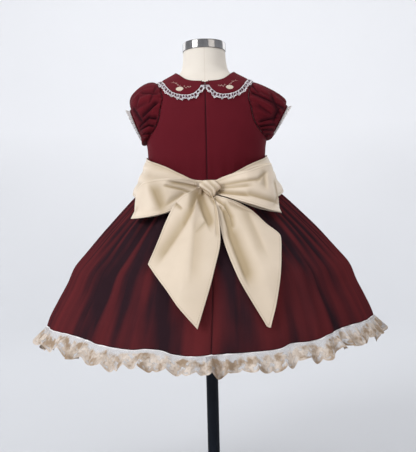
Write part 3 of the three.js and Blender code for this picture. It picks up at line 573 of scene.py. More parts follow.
woven_tape = finish_for("zip tape", {"Roughness": 0.85, "Specular IOR Level": 0.1}, zip_tape)
set_up(zip_strip, woven_tape, "zip_tape", "back_zip")
pull_around, pull_down = np.meshgrid(np.linspace(0, 360, 28, endpoint=False), np.linspace(0, 1, 22))
pull_share = np.sqrt(np.clip(np.sin(np.pi * pull_down**0.75), 0, 1)) * (0.55 + 0.45 * pull_down)
pull_z = PULL["top"] - PULL["length"] * pull_down
pull_x = PULL["half"] * pull_share * np.sin(np.radians(pull_around))
pull_thick = PULL["thick"] * pull_share * np.cos(np.radians(pull_around))
pull_out = BODICE_OUT + PULL["out"] + pull_thick
pull_turn = np.degrees(pull_x / body_radius(0, pull_z))
pull = made_of("pull", body(pull_turn, pull_z, pull_out), ring=True, flip=True, merge=True)
set_up(pull, finish_for("zip pull metal", {"Metallic": 0.8}, pull_metal), "zip_metal", "zip_pull")

# The puff sleeves
# Each short sleeve is gathered into the armhole and again into a narrow cuff, so it swells out
# between them. A thread of it is a cubic curve from the armhole to the cuff. The gathers die
# away towards the fullest part, where a few long soft folds and some sharper creases are left.
SLEEVES = {
    "left": {
        "side": -1, "lip": (-126, 0, 704), "facing": (-0.9, 0, -0.43), "over": 29, "under": 8,
        "creases": ((-117, 727, -106, 708, 6, 4.4), (-100, 714, -82, 730, -6, 5.0),
                    (-104, 752, -83, 748, -4, 3.6), (-110, 745, -114, 730, 5, 2.6),
                    (-106, 698, -93, 708, -5, 5.0), (-93, 708, -80, 706, -5, 4.4),
                    (-107, 691, -94, 696, -4, 4.6), (-94, 696, -78, 692, -4, 4.6),
                    (-103, 683, -79, 684.5, -4, 3.6), (-92, 736, -84, 758, 4, 2.4)),
    },
    "right": {
        "side": 1, "lip": (133.5, 0, 706), "facing": (0.84, 0, -0.54), "over": 15, "under": 0,
        "creases": ((80, 748, 114, 734, 5, 4.6), (114, 734, 131, 726, 5, 4.2),
                    (114, 740, 122, 720, 7, 4.2), (122, 720, 115, 706, 7, 4.2),
                    (93, 699, 115, 706, -5, 4.6), (86, 689, 113, 695, -4, 4.6),
                    (86, 683.5, 110, 686, -4, 4.0), (90, 678, 106, 679.5, -3, 3.2),
                    (79, 763, 88, 750, 4, 3.0), (92, 724, 104, 716, 6, 3.0)),
    },
}
SLEEVE_SEAM = 0.5
SLEEVE_GATHERS = {"seam": 30, "cuff": 24}
CUFF = {"radius": 25.3, "reach": 9, "lean": 3, "share": 0.42, "pleats": 26}
SLEEVE_RED = (0.130, 0.0088, 0.0150)
# The deep sleeve colour is mostly painted shade in folds and creases, and a little deeper dye.
SLEEVE_DYE_AND_SHADE = (0.030, 0.0035, 0.007)
SLEEVE_FOLDS = np.array(
    [
        (-150, 8, 1.5, 0.62), (-118, 7, 2.0, 0.45), (-84, 6, 1.6, 0.7), (-52, 7, 1.7, 0.4),
        (-20, 7, 1.4, 0.6), (14, 6, 1.6, 0.45), (34, 5, 1.7, 0.66), (52, 5, 1.8, 0.34),
        (70, 6, 2.2, 0.52), (88, 5, 1.9, 0.72), (104, 5, 2.0, 0.42), (124, 6, 2.1, 0.6),
        (143, 6, 1.7, 0.4), (160, 7, 1.4, 0.58),
    ],
    dtype=[(name, float) for name in ("angle", "width", "depth", "middle")],
)


def unit(vector):
    """A vector scaled to length 1."""
    vector = np.asarray(vector, dtype=float)
    return vector / np.linalg.norm(vector, axis=-1, keepdims=True)


def cuff_points(sleeve, angle, radius, share):
    """Points round the arm: a circle in the plane across it, moved back from the cuff's lip."""
    axis = unit(sleeve["facing"])
    back = np.array([0.0, -1.0, 0.0])
    up = np.cross(back, axis) * sleeve["side"]
    c, s = np.cos(np.radians(angle))[..., None], np.sin(np.radians(angle))[..., None]
    radial = c * up + s * back
    reach = (CUFF["reach"] + CUFF["lean"] * c) * np.asarray(share)[..., None]
    return np.array(sleeve["lip"]) + radial * np.asarray(radius)[..., None] - axis * reach, radial


def turned_by(a, b):
    """The signed angle from b to a, from -180 to 180."""
    return (a - b + 180) % 360 - 180


def creases(lines, x, z):
    """Creases along straight lines, seen from behind: a bell across each line that fades past its
    ends. A line is x and z at its start and end, then its width and depth. It falls off sharply
    on its left, walking along it, and softly on its right; a negative width swaps the two."""
    depth = 0 * x
    for x0, z0, x1, z1, width, deep in lines:
        dx, dz = x1 - x0, z1 - z0
        long = np.hypot(dx, dz)
        t = ((x - x0) * dx + (z - z0) * dz) / long**2
        off = ((z - z0) * dx - (x - x0) * dz) / long
        past = np.maximum(np.maximum(-t, t - 1), 0) * long
        wide = abs(width) * np.where(off * np.sign(width) > 0, 0.3, 1.0)
        bell = np.exp(-((off / wide) ** 2) - (past / (1.2 * abs(width))) ** 2)
        depth = np.maximum(depth, deep * bell)
    return depth


def sleeve_points(sleeve, angle, v):
    """A point of the sleeve and how far it lies in a fold: a cubic curve with its ends at the
    armhole and the cuff, moved by fine gathers at both ends, by the folds, each a bell across the
    angle and along v, and by the creases, which are given in millimetres."""
    side = sleeve["side"]
    axis = unit(sleeve["facing"])
    top = np.cos(np.radians(angle))[..., None]
    turn, z = armhole(np.abs(turned_by(angle, 0)), SLEEVE_SEAM)
    turn = np.where(turned_by(angle, 0) < 0, 180 - turn, turn)
    start = body(side * turn, z, BODICE_OUT - 0.3)
    whole = np.ones_like(angle)
    end, radial = cuff_points(sleeve, angle, CUFF["radius"] * whole, whole)
    end = end - 0.1 * axis
    rise = np.stack([0 * angle, -np.sin(np.radians(angle)), top[..., 0]], axis=-1)
    flank = 1 - top * top
    share = (top + 1) / 2
    first = start + rise * (mix(sleeve["under"] + 2, sleeve["over"] - 12, share) - 8 * flank)
    first[..., 0] += side * (12 + 12 * flank[..., 0])
    second = end + radial * mix(sleeve["under"], sleeve["over"], share) + axis * (5 + 2 * top)
    w, s = 1 - v[..., None], v[..., None]
    point = w**3 * start + 3 * w * w * s * first + 3 * w * s * s * second + s**3 * end
    swell = point - np.array(sleeve["lip"])
    swell[..., 0] = 0
    swell = unit(swell)
    at_seam = np.exp(-v / 0.16) * smooth((top[..., 0] + 0.75) / 0.7) * smooth(v / 0.03)
    at_cuff = np.exp(-(1 - v) / 0.22) * smooth((1 - v) / 0.03)
    wander = 9 * np.sin(np.radians(angle * 3 + 40))
    uneven = 0.75 + 0.45 * np.sin(np.radians(angle * 5 + 70))
    seam_beat = np.radians(angle * SLEEVE_GATHERS["seam"] + wander * 6)
    cuff_beat = np.radians(angle * SLEEVE_GATHERS["cuff"] + wander * 5)
    gathers = uneven * (0.8 * at_seam * np.cos(seam_beat) + 1.2 * at_cuff * np.cos(cuff_beat))
    folds = -0.4 * gathers
    for fold in SLEEVE_FOLDS:
        sideways = turned_by(angle, fold["angle"] + 14 * side * (v - fold["middle"]))
        reach = np.exp(-(((v - fold["middle"]) / 0.3) ** 2))
        folds = folds + fold["depth"] * reach * np.exp(-((sideways / fold["width"]) ** 2))
    ends = smooth(v / 0.06) * smooth((1 - v) / 0.06)
    folds = np.maximum(folds, creases(sleeve["creases"], point[..., 0], point[..., 2]) * ends)
    return point + swell * (gathers - folds + 0.8)[..., None], folds


sleeve_cloth = finish_for(
    "burgundy sleeve cloth", CLOTH_CONSTANTS,
    lambda wire: burgundy(wire, SLEEVE_RED, SLEEVE_DYE_AND_SHADE, wire.field("fold")),
)
for name, sleeve in SLEEVES.items():
    angle, v = np.meshgrid(np.arange(0, 360, 1.0), np.linspace(0, 1, 72))
    points, fold = sleeve_points(sleeve, angle, v)
    # The attribute fold is painted shade in the sleeve's folds and creases, and a little painted
    # light on the gathers' crests.
    puff = made_of(
        f"puff_{name}", points, ring=True, flip=sleeve["side"] < 0, thick=1.0,
        fields={"fold": np.clip(fold / 5.0, -0.1, 0.9)},
    )
    set_up(puff, sleeve_cloth, "burgundy_cloth", f"sleeve_{name}")
    angle, v = np.meshgrid(np.arange(0, 360, 2), np.linspace(0, 1, 9))
    bulge = (0.5 + 0.22 * np.cos(np.radians(angle * CUFF["pleats"]))) * np.sin(np.pi * v)
    ring, _ = cuff_points(sleeve, angle, CUFF["radius"] + bulge, 1 - CUFF["share"] * v)
    # The cuff band's colour is set a little darker all over.
    band = made_of(
        f"band_{name}", ring, ring=True, flip=sleeve["side"] < 0, thick=1.2,
        fields={"fold": 0.1 + 0 * v},
    )
    set_up(band, sleeve_cloth, "burgundy_cloth", f"cuff_{name}")

# The cuff lace
# A narrow frill of off-white cotton lace is sewn inside each cuff. It is a strip with small
# waves that grow towards its free edge, which is scalloped, and its eyelets are cut through.
LACE_WHITE = (0.82, 0.79, 0.785)
LACE_CREAM = (0.74, 0.70, 0.66)
LACE_GREY = (0.46, 0.42, 0.46)
CUFF_LACE = {"waves": 21, "scallops": 42, "flare": 4.5}


def eyelet_lace(wire, deep):
    """Narrow edging: a solid heading, a row of oval eyelets with bars between, and a thick
    scalloped cord. It reads two attributes: beat counts the scallops, width goes from 0 to 1."""
    beat, width = wire.field("beat"), wire.field("width")
    x = wire.maths("PINGPONG", beat, 0.5) * 2
    y = (width - 0.5) / 0.27
    hole = 1 - (x * x * 2.2 + y * y).between(0.75, 1.15)
    small_y = (width - 0.86) / 0.1
    small_x = (1 - x) / 0.35
    small = 1 - (small_x * small_x + small_y * small_y).between(0.7, 1.2)
    open_work = wire.maths("MAXIMUM", hole, small * 0.7)
    middle = width.between(0.12, 0.28) * (1 - width.between(0.74, 0.88))
    threads = wire.weave(0.0007)
    fuzz = wire.clouds(wire.place(), 1500.0)
    return {
        "Base Color": wire.blend(fuzz * 0.35 + middle * 0.75, LACE_WHITE, deep),
        "Alpha": 1 - open_work * 0.95,
        "Normal": wire.relief(threads * 0.6 + width.between(0.8, 1.0) * 0.8, 0.0003, 0.8),
    }


LACE_CONSTANTS = {"Roughness": 0.85, "Specular IOR Level": 0.2}
pale_eyelets = finish_for(
    "pale eyelet lace", LACE_CONSTANTS, lambda wire: eyelet_lace(wire, LACE_CREAM)
)

for name, sleeve in SLEEVES.items():
    angle, v = np.meshgrid(np.arange(0, 360, 0.75), np.linspace(0, 1, 12))
    wander = 30 * np.sin(np.radians(angle * 2 + 25)) + 22 * np.sin(np.radians(angle * 5))
    wave = np.cos(np.radians(angle * CUFF_LACE["waves"] + wander)) * mix(0.2, 1.5, v)
    tooth = np.abs(np.sin(np.radians(angle * CUFF_LACE["scallops"] / 2 + 20)))
    share = (1 - CUFF["share"] - 0.02) * (1 - v * (0.86 + 0.16 * tooth))
    ring, _ = cuff_points(sleeve, angle, CUFF["radius"] - 0.6 + CUFF_LACE["flare"] * v + wave, share)
    frill = made_of(
        f"cuff_frill_{name}", ring, ring=True, flip=sleeve["side"] < 0,
        fields={"beat": angle / 360 * CUFF_LACE["scallops"], "width": v},
    )
    set_up(frill, pale_eyelets, "white_lace", f"cuff_lace_{name}")

# The collar
# A flat round collar in two halves lies on the bodice, from the centre back over the shoulder to
# the centre front. Each half is cut as a curved band whose ends are rounded, and is measured
# down the bodice from the neckline.
COLLAR = np.array(
    [(0, 32), (22, 32.4), (33, 34.5), (42, 37), (52, 34.5), (62, 31), (90, 28), (108, 27),
     (135, 30), (180, 36)],
    dtype=[("turn", float), ("width", float)],
)
COLLAR_START = 5
COLLAR_SPAN = 180 - 2 * COLLAR_START
COLLAR_ROUND = 27
COLLAR_OUT = 4.9
COLLAR_LIFT = 1


def collar_neck(turn):
    """The neckline's height on either side of the shoulder."""
    front = neck_height(180 - np.maximum(turn, 90), "front")
    return np.where(turn < 90, neck_height(np.minimum(turn, 90), "back"), front)


def collar_width(turn):
    """The collar's width: its table, with each end rounded off as a superellipse is."""
    end = np.minimum(turn, 180 - turn) - COLLAR_START
    t = np.clip(end / COLLAR_ROUND, 0, 1)
    return through(COLLAR, "width", turn, key="turn") * (1 - (1 - t) ** 2.2) ** (1 / 2.2)


def down_body(turn, z, length, steps=24):
    """The height that lies a length of cloth further down the form, found in short steps."""
    for _ in range(steps):
        slope = body_radius(turn, z - 0.5) - body_radius(turn, z + 0.5)
        z = z - length / steps / np.hypot(1, slope)
    return z


def collar_points(side, turn, share, out):
    """Points of one collar half, share 0 at the neck and 1 at the outer edge."""
    z = down_body(turn, collar_neck(turn) - COLLAR_LIFT, share * collar_width(turn))
    return body(side * turn, z, out)


collar_cloth = finish_for(
    "burgundy collar cloth", CLOTH_CONSTANTS, lambda wire: burgundy(wire, BURGUNDY, BURGUNDY_DYE_AND_SHADE)
)
ends = np.linspace(0, 1, 22) ** 2 * 32
middle = np.linspace(32, COLLAR_SPAN - 32, 92)[1:-1]
collar_turns = np.concatenate([ends, middle, COLLAR_SPAN - ends[::-1]]) + COLLAR_START
collar_turns[0] += 0.25
collar_turns[-1] -= 0.25
for side, name in ((-1, "left"), (1, "right")):
    turn, share = np.meshgrid(collar_turns, np.linspace(0, 1, 22))
    soft = 0.25 * np.sin(turn * 0.16 + 1) * share - 0.5 * smooth((share - 0.9) / 0.1)
    soft = soft - 0.35 * smooth((0.06 - share) / 0.06)
    points = collar_points(side, turn, share, COLLAR_OUT + soft)
    half = made_of(f"round_collar_{name}", points, flip=side < 0, thick=1.2)
    set_up(half, collar_cloth, "burgundy_cloth", f"collar_{name}")

# The collar's lace
# A narrow white frill is gathered round each half's outer edge. It starts under the collar and
# its waves stand up from the bodice a little, with a thick cord along its scallops.
COLLAR_LACE = {"width": 9, "waves": 27, "scallops": 54, "start": 6.2, "out": 5.3}


def collar_lace_points(side, turn, share):
    """Points of the frill: out from the collar's edge along the cloth, square to that edge."""
    step = 0.8
    width = collar_width(turn)
    rise = (collar_width(turn + step) - collar_width(turn - step)) / 2
    edge_radius = body_radius(turn, collar_neck(turn) - width)
    sideways = np.radians(step) * edge_radius
    slant = np.hypot(rise, sideways)
    along = (turn - COLLAR_START) / COLLAR_SPAN
    tooth = np.abs(np.sin(np.pi * COLLAR_LACE["scallops"] * along))
    uneven = 1.1 * np.sin(turn * 0.41 + 1) + 0.7 * np.sin(turn * 0.93)
    reach = COLLAR_LACE["width"] - 1.0 + 1.7 * tooth + uneven
    reach = -0.8 + share * reach * smooth((width + 5) / 14)
    out_turn = np.clip(turn - np.degrees(reach * rise / slant / edge_radius), 0.6, 179.4)
    out_width = width + reach * sideways / slant
    beat = along * COLLAR_LACE["waves"] * 2 * np.pi
    wave = share * (1.7 * np.sin(beat + 1.5 * np.sin(beat / 5)) + 0.6 * np.sin(beat * 1.7))
    z = down_body(out_turn, collar_neck(out_turn) - COLLAR_LIFT, out_width)
    out = COLLAR_LACE["out"] + wave - 1.3 * smooth((0.2 - share) / 0.2)
    return body(side * out_turn, z, out)


eyelets = finish_for(
    "white eyelet lace", LACE_CONSTANTS, lambda wire: eyelet_lace(wire, LACE_GREY)
)
for side, name in ((-1, "left"), (1, "right")):
    lace_start = COLLAR_LACE["start"]
    turn, share = np.meshgrid(np.linspace(lace_start, 180 - lace_start, 640), np.linspace(0, 1, 12))
    beat = (turn - COLLAR_START) / COLLAR_SPAN * COLLAR_LACE["scallops"]
    frill = made_of(
        f"collar_frill_{name}", collar_lace_points(side, turn, share), flip=side < 0,
        fields={"beat": beat, "width": share},
    )
    set_up(frill, eyelets, "white_lace", f"collar_lace_{name}")

# The collar's embroidery
# Each half has a plain oval bud in cream satin stitch, with a short stem and two thin sprigs of
# small leaves in paler thread. Every stitch is a tapered thread that lies on the collar.
BUD = {"left": (-43.4, 751.5), "right": (42.0, 752.5)}
BUD_HALF = (6.0, 4.0)
SPRIGS = (
    np.array([(-2.5, 4.5), (-4.0, 8.5), (-8.5, 12.0), (-15.5, 13.0)]),
    np.array([(5.5, 4.5), (10.5, 1.8), (15.0, 3.0), (20.0, 1.5)]),
)
THREAD_CREAM = (0.72, 0.63, 0.50)
THREAD_PINK = (0.50, 0.31, 0.26)


def on_collar(across, height):
    """The turn at which a height of the collar lies across millimetres from the middle."""
    turn = np.degrees(np.arctan2(across, 55.0))
    for _ in range(12):
        turn = np.degrees(np.arcsin(across / (body_radius(turn, height) + COLLAR_OUT)))
    return turn


def stitches(paths, radius):
    """Tapered threads: each path's points widened into a ring, whose radius falls to nothing at
    both ends as sqrt(sin) does. paths[thread, point] holds places across and up the collar."""
    share = np.linspace(0, 1, paths.shape[1])
    turn = on_collar(paths[..., 0], paths[..., 1])
    line = body(turn, paths[..., 1], COLLAR_OUT + 0.15)
    above = unit(body(turn, paths[..., 1], COLLAR_OUT + 1.15) - line)
    forward = unit(np.gradient(line, axis=1))
    beside = np.cross(forward, above)
    taper = radius * np.sqrt(np.sin(np.pi * np.clip(share, 0.01, 0.99)))
    angle = np.radians(np.arange(0, 360, 60))[:, None]
    ring = np.cos(angle) * beside[:, :, None, :] + 0.7 * np.sin(angle) * above[:, :, None, :]
    return line[:, :, None, :] + ring * taper[None, :, None, None]


def thread_finish(name, colour):
    """Twisted cotton thread: fine ridges along each stitch."""
    def recipe(wire):
        fuzz = wire.clouds(wire.place(), 2500.0)
        return {
            "Base Color": wire.blend(fuzz, colour, [value * 0.8 for value in colour]),
            "Normal": wire.relief(fuzz, 0.0001, 0.7),
        }
    return finish_for(name, {"Roughness": 0.6, "Sheen Weight": 0.2}, recipe)


def joined_threads(name, groups):
    """One mesh from groups of threads, each thread a closed tube of rings."""
    points, faces, count = [], [], 0
    for group in groups:
        threads, steps, sides = group.shape[:3]
        number = np.arange(threads * steps * sides).reshape(threads, steps, sides) + count
        nxt = np.roll(number, -1, axis=2)
        quads = np.stack([number[:, :-1], nxt[:, :-1], nxt[:, 1:], number[:, 1:]], axis=-1)
        points.append(group.reshape(-1, 3))
        faces.append(quads.reshape(-1, 4))
        count += group.size // 3
    mesh = bpy.data.meshes.new(name)
    mesh.from_pydata((np.concatenate(points) * 0.001).tolist(), [], np.concatenate(faces).tolist())
    shape = bmesh.new()
    shape.from_mesh(mesh)
    bmesh.ops.holes_fill(shape, edges=shape.edges)
    bmesh.ops.recalc_face_normals(shape, faces=shape.faces)
    shape.to_mesh(mesh)
    shape.free()
    mesh.polygons.foreach_set("use_smooth", np.ones(len(mesh.polygons), dtype=bool))
    piece = bpy.data.objects.new(name, mesh)
    bpy.context.scene.collection.objects.link(piece)
    return piece


cream_thread = thread_finish("cream embroidery thread", THREAD_CREAM)
pink_thread = thread_finish("pale sprig thread", THREAD_PINK)
for side, name in ((-1, "left"), (1, "right")):
    centre = np.array(BUD[name])
    share = np.linspace(-1, 1, 9)[None, :]
    across = np.linspace(-0.93, 0.93, 13)[:, None]
    bud = np.stack(
        [across * BUD_HALF[0] + 0 * share, share * BUD_HALF[1] * np.sqrt(1 - across**2)], axis=-1
    )
    buds = joined_threads(f"bud_{name}", [stitches(centre + bud, 0.75)])
    set_up(buds, cream_thread, "white_lace")
    groups = [stitches(centre + np.linspace((0, 3.5), (0.6, 7), 8)[None], 0.5)]
    for sprig in SPRIGS:
        steps = np.linspace(0, len(sprig) - 1, 40)
        stem = np.stack([np.interp(steps, np.arange(len(sprig)), sprig[:, i]) for i in (0, 1)], -1)
        groups.append(stitches(centre + stem[None] * (-side, 1), 0.3))
        for index in range(5, 40, 7):
            at = stem[index]
            tilt = 1 if index % 2 else -1
            leaf = at + np.linspace((0, 0), (1.4, 1.9 * tilt), 7)
            groups.append(stitches(centre + leaf[None] * (-side, 1), 0.55))
    sprigs = joined_threads(f"sprigs_{name}", groups)
    set_up(sprigs, pink_thread, "white_lace")

# The skirt
# A very full skirt of crisp red cloth. It is gathered into the waist and flares in long uneven
# folds, each a bell-shaped trough across the turn that deepens towards the hem. Its colour goes to
# a near-black painted shade in the folds, the gathers, the seams, along its edges and towards the
# waist, and in long bands, some of them painted redder as light on the ridges.
SKIRT = np.array(
    [
        (350, 284, 284, 0), (380, 276, 276, 0), (407, 263, 263, 0), (436, 247, 246.5, 0.2),
        (461, 236, 233, 0.6), (486, 215.5, 208, 1.2), (519, 186, 172, 2), (550, 156, 136, 2.2),
        (580, 126, 103, 1.6), (592, 112, 90, 1.4), (602, 99.5, 79, 1),
    ],
    dtype=[(name, float) for name in ("z", "wide", "deep", "gather")],
)
FOLDS = np.array(
    [
        (-166, 8, 6, 500), (-148, 7, 8, 530), (-129, 9, 6, 480), (-108, 7, 8, 520),
        (-91, 8, 5, 470), (-72, 7, 6, 540), (-45, 8, 9, 550), (-29, 6, 6, 520),
        (-13, 6, 7, 470), (4, 5, 6, 450), (14, 5, 5, 430), (25, 5, 6, 480), (45, 8, 9, 550),
        (69, 7, 5, 500), (88, 8, 7, 530), (107, 7, 6, 480), (126, 8, 8, 530), (146, 7, 6, 490),
        (170, 8, 8, 520),
    ],
    dtype=[(name, float) for name in ("turn", "width", "depth", "top")],
)
FINE_FOLDS = np.array(
    [
        (-174, 2.5, 2.5, 590), (-157, 2.0, 2.0, 560), (-139, 2.6, 2.5, 595), (-119, 2.2, 2.2, 570),
        (-99, 2.4, 2.4, 590), (-82, 2.2, 2.0, 560), (-63, 2.0, 1.8, 590), (-57, 1.6, 1.4, 560),
        (-52, 2.0, 2.2, 600), (-39, 2.2, 3.0, 600), (-33, 1.6, 2.6, 590), (-24, 1.5, 1.2, 560),
        (-20, 1.8, 1.6, 540), (-9, 1.6, 1.4, 480), (9, 1.6, 1.3, 470), (19, 1.5, 1.0, 500),
        (30, 1.4, 1.5, 560), (36, 1.8, 3.0, 595), (41, 1.5, 2.0, 600), (51, 2.2, 2.2, 590),
        (57, 1.8, 1.5, 560), (63, 2.0, 1.6, 600), (78, 2.4, 2.2, 570), (98, 2.2, 2.4, 590),
        (117, 2.6, 2.2, 560), (136, 2.2, 2.5, 595), (157, 2.4, 2.0, 570), (180, 2.2, 2.4, 590),
    ],
    dtype=[(name, float) for name in ("turn", "width", "depth", "top")],
)
HEM_Z = 369
HEM = np.array(
    [
        (-180, 369), (-135, 367), (-90, 366), (-75, 370), (-54, 377.5), (-41, 375), (-29, 370.6),
        (-24, 370.3), (-18, 372.8), (-14.5, 371.5), (-10.5, 366.5), (-6, 365.3), (0, 366.5),
        (16, 368.3), (19, 369), (23, 373.5), (28, 373), (36, 377), (46, 381), (56, 382),
        (75, 377), (90, 373), (135, 371), (180, 369),
    ],
    dtype=[("turn", float), ("z", float)],
)
# Bands of painted shade on the skirt, painted light where dark is below 0: turn, width, dark, low
# and high.
SHADE_BANDS = np.array(
    [
        (-150, 5, 0.5, 360, 470), (-132, 4, 0.45, 430, 600), (-114, 5, 0.5, 360, 480),
        (-97, 4, 0.4, 420, 600), (-84, 4, 0.35, 360, 450), (-51, 2.4, -0.4, 300, 400),
        (-44, 3.6, 0.2, 480, 600), (-39, 2, -0.4, 300, 360), (-33, 1.8, -0.7, 300, 380),
        (-28.5, 3.0, 0.6, 470, 600), (-30, 1.8, 0.2, 420, 450), (-21, 2.0, 0.25, 430, 470),
        (-16.5, 3.0, 0.85, 460, 600), (-14, 3.6, 0.4, 300, 420), (5, 3.0, 0.4, 300, 600),
        (4, 3, 0.5, 470, 600), (9.5, 3.0, 0.6, 430, 600), (12.5, 2.2, 0.3, 300, 400),
        (24, 1.8, 0.25, 300, 420), (26.8, 2.4, 0.5, 490, 600), (33, 1.8, 0.3, 430, 600),
        (36.5, 2.0, -0.6, 300, 400), (42, 1.6, -0.4, 460, 490), (48, 4.4, -0.45, 300, 420),
        (83, 4, 0.4, 360, 460), (98, 4, 0.45, 420, 600), (115, 5, 0.5, 360, 480),
        (133, 4, 0.45, 420, 600), (152, 5, 0.5, 360, 470), (176, 4, 0.4, 430, 600),
    ],
    dtype=[(name, float) for name in ("turn", "width", "dark", "low", "high")],
)
SKIRT_LEAN = 4
SKIRT_GATHERS = 24
SKIRT_RIPPLES = 61
FOLD_MEAN = 2.4
SKIRT_HEM = 14.0
SKIRT_RED = (0.116, 0.0195, 0.0220)
# The skirt's dark colour is painted shade, not a second colour of the cloth.
SKIRT_SHADE = (0.0255, 0.0125, 0.0165)


def skirt_lean(z):
    """How far the skirt's middle stands towards +X: half a sine wave from waist to hem."""
    share = np.clip((WAIST_Z - z) / (WAIST_Z - HEM_Z), 0, 1)
    return SKIRT_LEAN * np.sin(np.pi * share)


def from_skirt_axis(turn, radius, z):
    """The points at a turn and radius from the skirt's own leaning middle."""
    points = polar(turn, radius, z)
    points[..., 0] += skirt_lean(z)
    return points


def troughs(folds, turn, z, grow, sharp=2.0):
    """The depth of a table's folds: bells across the turn, each grown over a height."""
    depth = 0 * turn + 0 * z
    for fold in folds:
        off = np.abs(turned_by(turn, fold["turn"])) / fold["width"]
        depth = depth + fold["depth"] * smooth((fold["top"] - z) / grow) * np.exp(-(off**sharp))
    return depth


def skirt_section(turn, z):
    """The skirt's plain ellipse at a height."""
    return section(turn, through(SKIRT, "wide", z), through(SKIRT, "deep", z), 2)


def ripple(turn):
    """The skirt's finest ripples, from -1 to 1: a cosine whose spacing wanders round the skirt."""
    return np.cos(np.radians(turn * SKIRT_RIPPLES + 50 * np.sin(np.radians(turn * 5))))


def skirt_radius(turn, z):
    """The ellipse, the waist's gathers and ripples as cosines, and the main and fine folds."""
    gather = through(SKIRT, "gather", z) * np.cos(np.radians(turn * SKIRT_GATHERS))
    gather = gather + 0.7 * ripple(turn) * smooth((z - 470) / 90)
    opened = smooth((540 - z) / 120) * FOLD_MEAN
    fine = troughs(FINE_FOLDS, turn, z, 60) * (1 - 0.45 * smooth((440 - z) / 90))
    return skirt_section(turn, z) + gather + opened - troughs(FOLDS, turn, z, 120) - fine


def hem_height(turn):
    """The hem's height, which waves as its folds lift and drop it."""
    return through(HEM, "z", turned_by(turn, 0), key="turn")


def shade_bands(turn, z):
    """Painted shade in long bands: darker where dark is above 0, and painted redder as light
    where it is below 0. Each is a bell across the turn that runs between two heights."""
    tone = 0 * turn
    for streak in SHADE_BANDS:
        off = np.abs(turned_by(turn, streak["turn"])) / streak["width"]
        ends = smooth((z - streak["low"]) / 90 + 1) * smooth((streak["high"] - z) / 90 + 1)
        tone = tone + streak["dark"] * ends * np.exp(-(off**3))
    return tone


def skirt_painted_shade(turn, z):
    """Painted shade, 0 on a fold's ridge and 1 in its shade: the folds' depth against a full
    one's, with shade in the gathers' fine lines near the waist, more towards the waist, and the long
    bands."""
    main = troughs(FOLDS, turn, z, 120) / 8.0
    fine = troughs(FINE_FOLDS, turn, z, 60) / 2.6
    line = 0.5 - 0.5 * ripple(turn)
    # Painted shade that grows towards the waist.
    high = 0.3 * smooth((z - 440) / 90)
    tone = 0.8 * main + 0.5 * fine + 0.6 * line * smooth((z - 455) / 80) + high
    return np.clip(tone + shade_bands(turn, z), 0, 1.3)


def skirt_with_painted_shade(wire):
    """Red cloth that goes to its painted shade as the attribute tone rises, and a little darker
    along its edges as their shade. Soft slubs that run down the cloth and a cloud vary it, with a
    crisp fine weave and a line of stitches at the hem's depth."""
    x, y, _ = wire.parts(wire.cloth())
    stretched = wire.add("CombineXYZ", {"X": x * 95.0, "Y": y * 7.0, "Z": 0.0})
    slubs = wire.clouds(stretched, 1.0, 3.0)
    cloud = wire.clouds(wire.place(), 16.0)
    edge = wire.field("edge")
    hem_line = 1 - wire.maths("ABSOLUTE", edge - SKIRT_HEM).between(0.2, 0.9)
    tone = wire.field("tone") + (slubs - 0.5) * 0.75 + (cloud - 0.5) * 0.35
    # Painted shade along the skirt's edges.
    tone = tone + (1 - edge.between(0.2, 1.6)) * 0.1
    dark = wire.add(
        "ValToRGB", {"Fac": tone}, stops=[(0.0, (0, 0, 0)), (0.42, (0.35,) * 3), (0.95, (1, 1, 1))]
    )
    share, _, _ = wire.parts(dark)
    threads = wire.weave(0.00055)
    return {
        "Base Color": wire.blend(share, SKIRT_RED, SKIRT_SHADE),
        "Roughness": share * 0.1 + 0.5,
        "Normal": wire.relief(threads * 0.35 + slubs * 0.6 - hem_line * 0.3, 0.0003, 0.6),
    }


skirt_cloth = finish_for("skirt cloth with painted shade", {"Specular IOR Level": 0.0}, skirt_with_painted_shade)
SKIRT_PANELS = (
    ("skirt_panel_left", "skirt_back_left", -90, 0, 180, 96, 0.45),
    ("skirt_panel_right", "skirt_back_right", 0, 90, 180, 96, 0.45),
    ("skirt_panel_front", "skirt_front", 90, 270, 330, 76, 0.9),
)
SKIRT_LONG = 0.32
for name, node, start, end, columns, rows, wide in SKIRT_PANELS:
    turn, share = np.meshgrid(np.linspace(start, end, columns), np.linspace(0, 1, rows))
    z = mix(WAIST_Z - 0.3, hem_height(turn), share)
    radius = skirt_radius(turn, z)
    sewn = np.exp(-((np.minimum(turn - start, end - turn) * 3.2) ** 2))
    turn = turn + np.degrees(0.15 / radius) * np.sign((start + end) / 2 - turn) * (sewn > 0.99)
    points = from_skirt_axis(turn, radius - 0.8 * sewn, z)
    # The panels are painted darker along their sewn seams, as the seams' shade.
    panel = made_of(name, points, thick=1.0, fields={"tone": skirt_painted_shade(turn, z) + 0.2 * sewn})
    set_up(panel, skirt_cloth, "burgundy_cloth", node)
    0.8 * wide * SKIRT_LONG

# The hem lace
# A deep beige lace is gathered to the skirt's edge: a white heading and plain pale net, then a
# band of flowers in fawn thread, with a scalloped edge. Its ruffles are a wave round the hem that
# widens downwards, uneven in its beat and height.
HEM_LACE = {"drop": 25, "flare": 17, "waves": 56, "scallops": 92}
NET = (0.57, 0.555, 0.56)
NET_PITCH = 0.0013
HEADING = (0.88, 0.86, 0.85)
FLOWER_PALE = (0.73, 0.645, 0.57)
FLOWER_FAWN = (0.36, 0.262, 0.18)


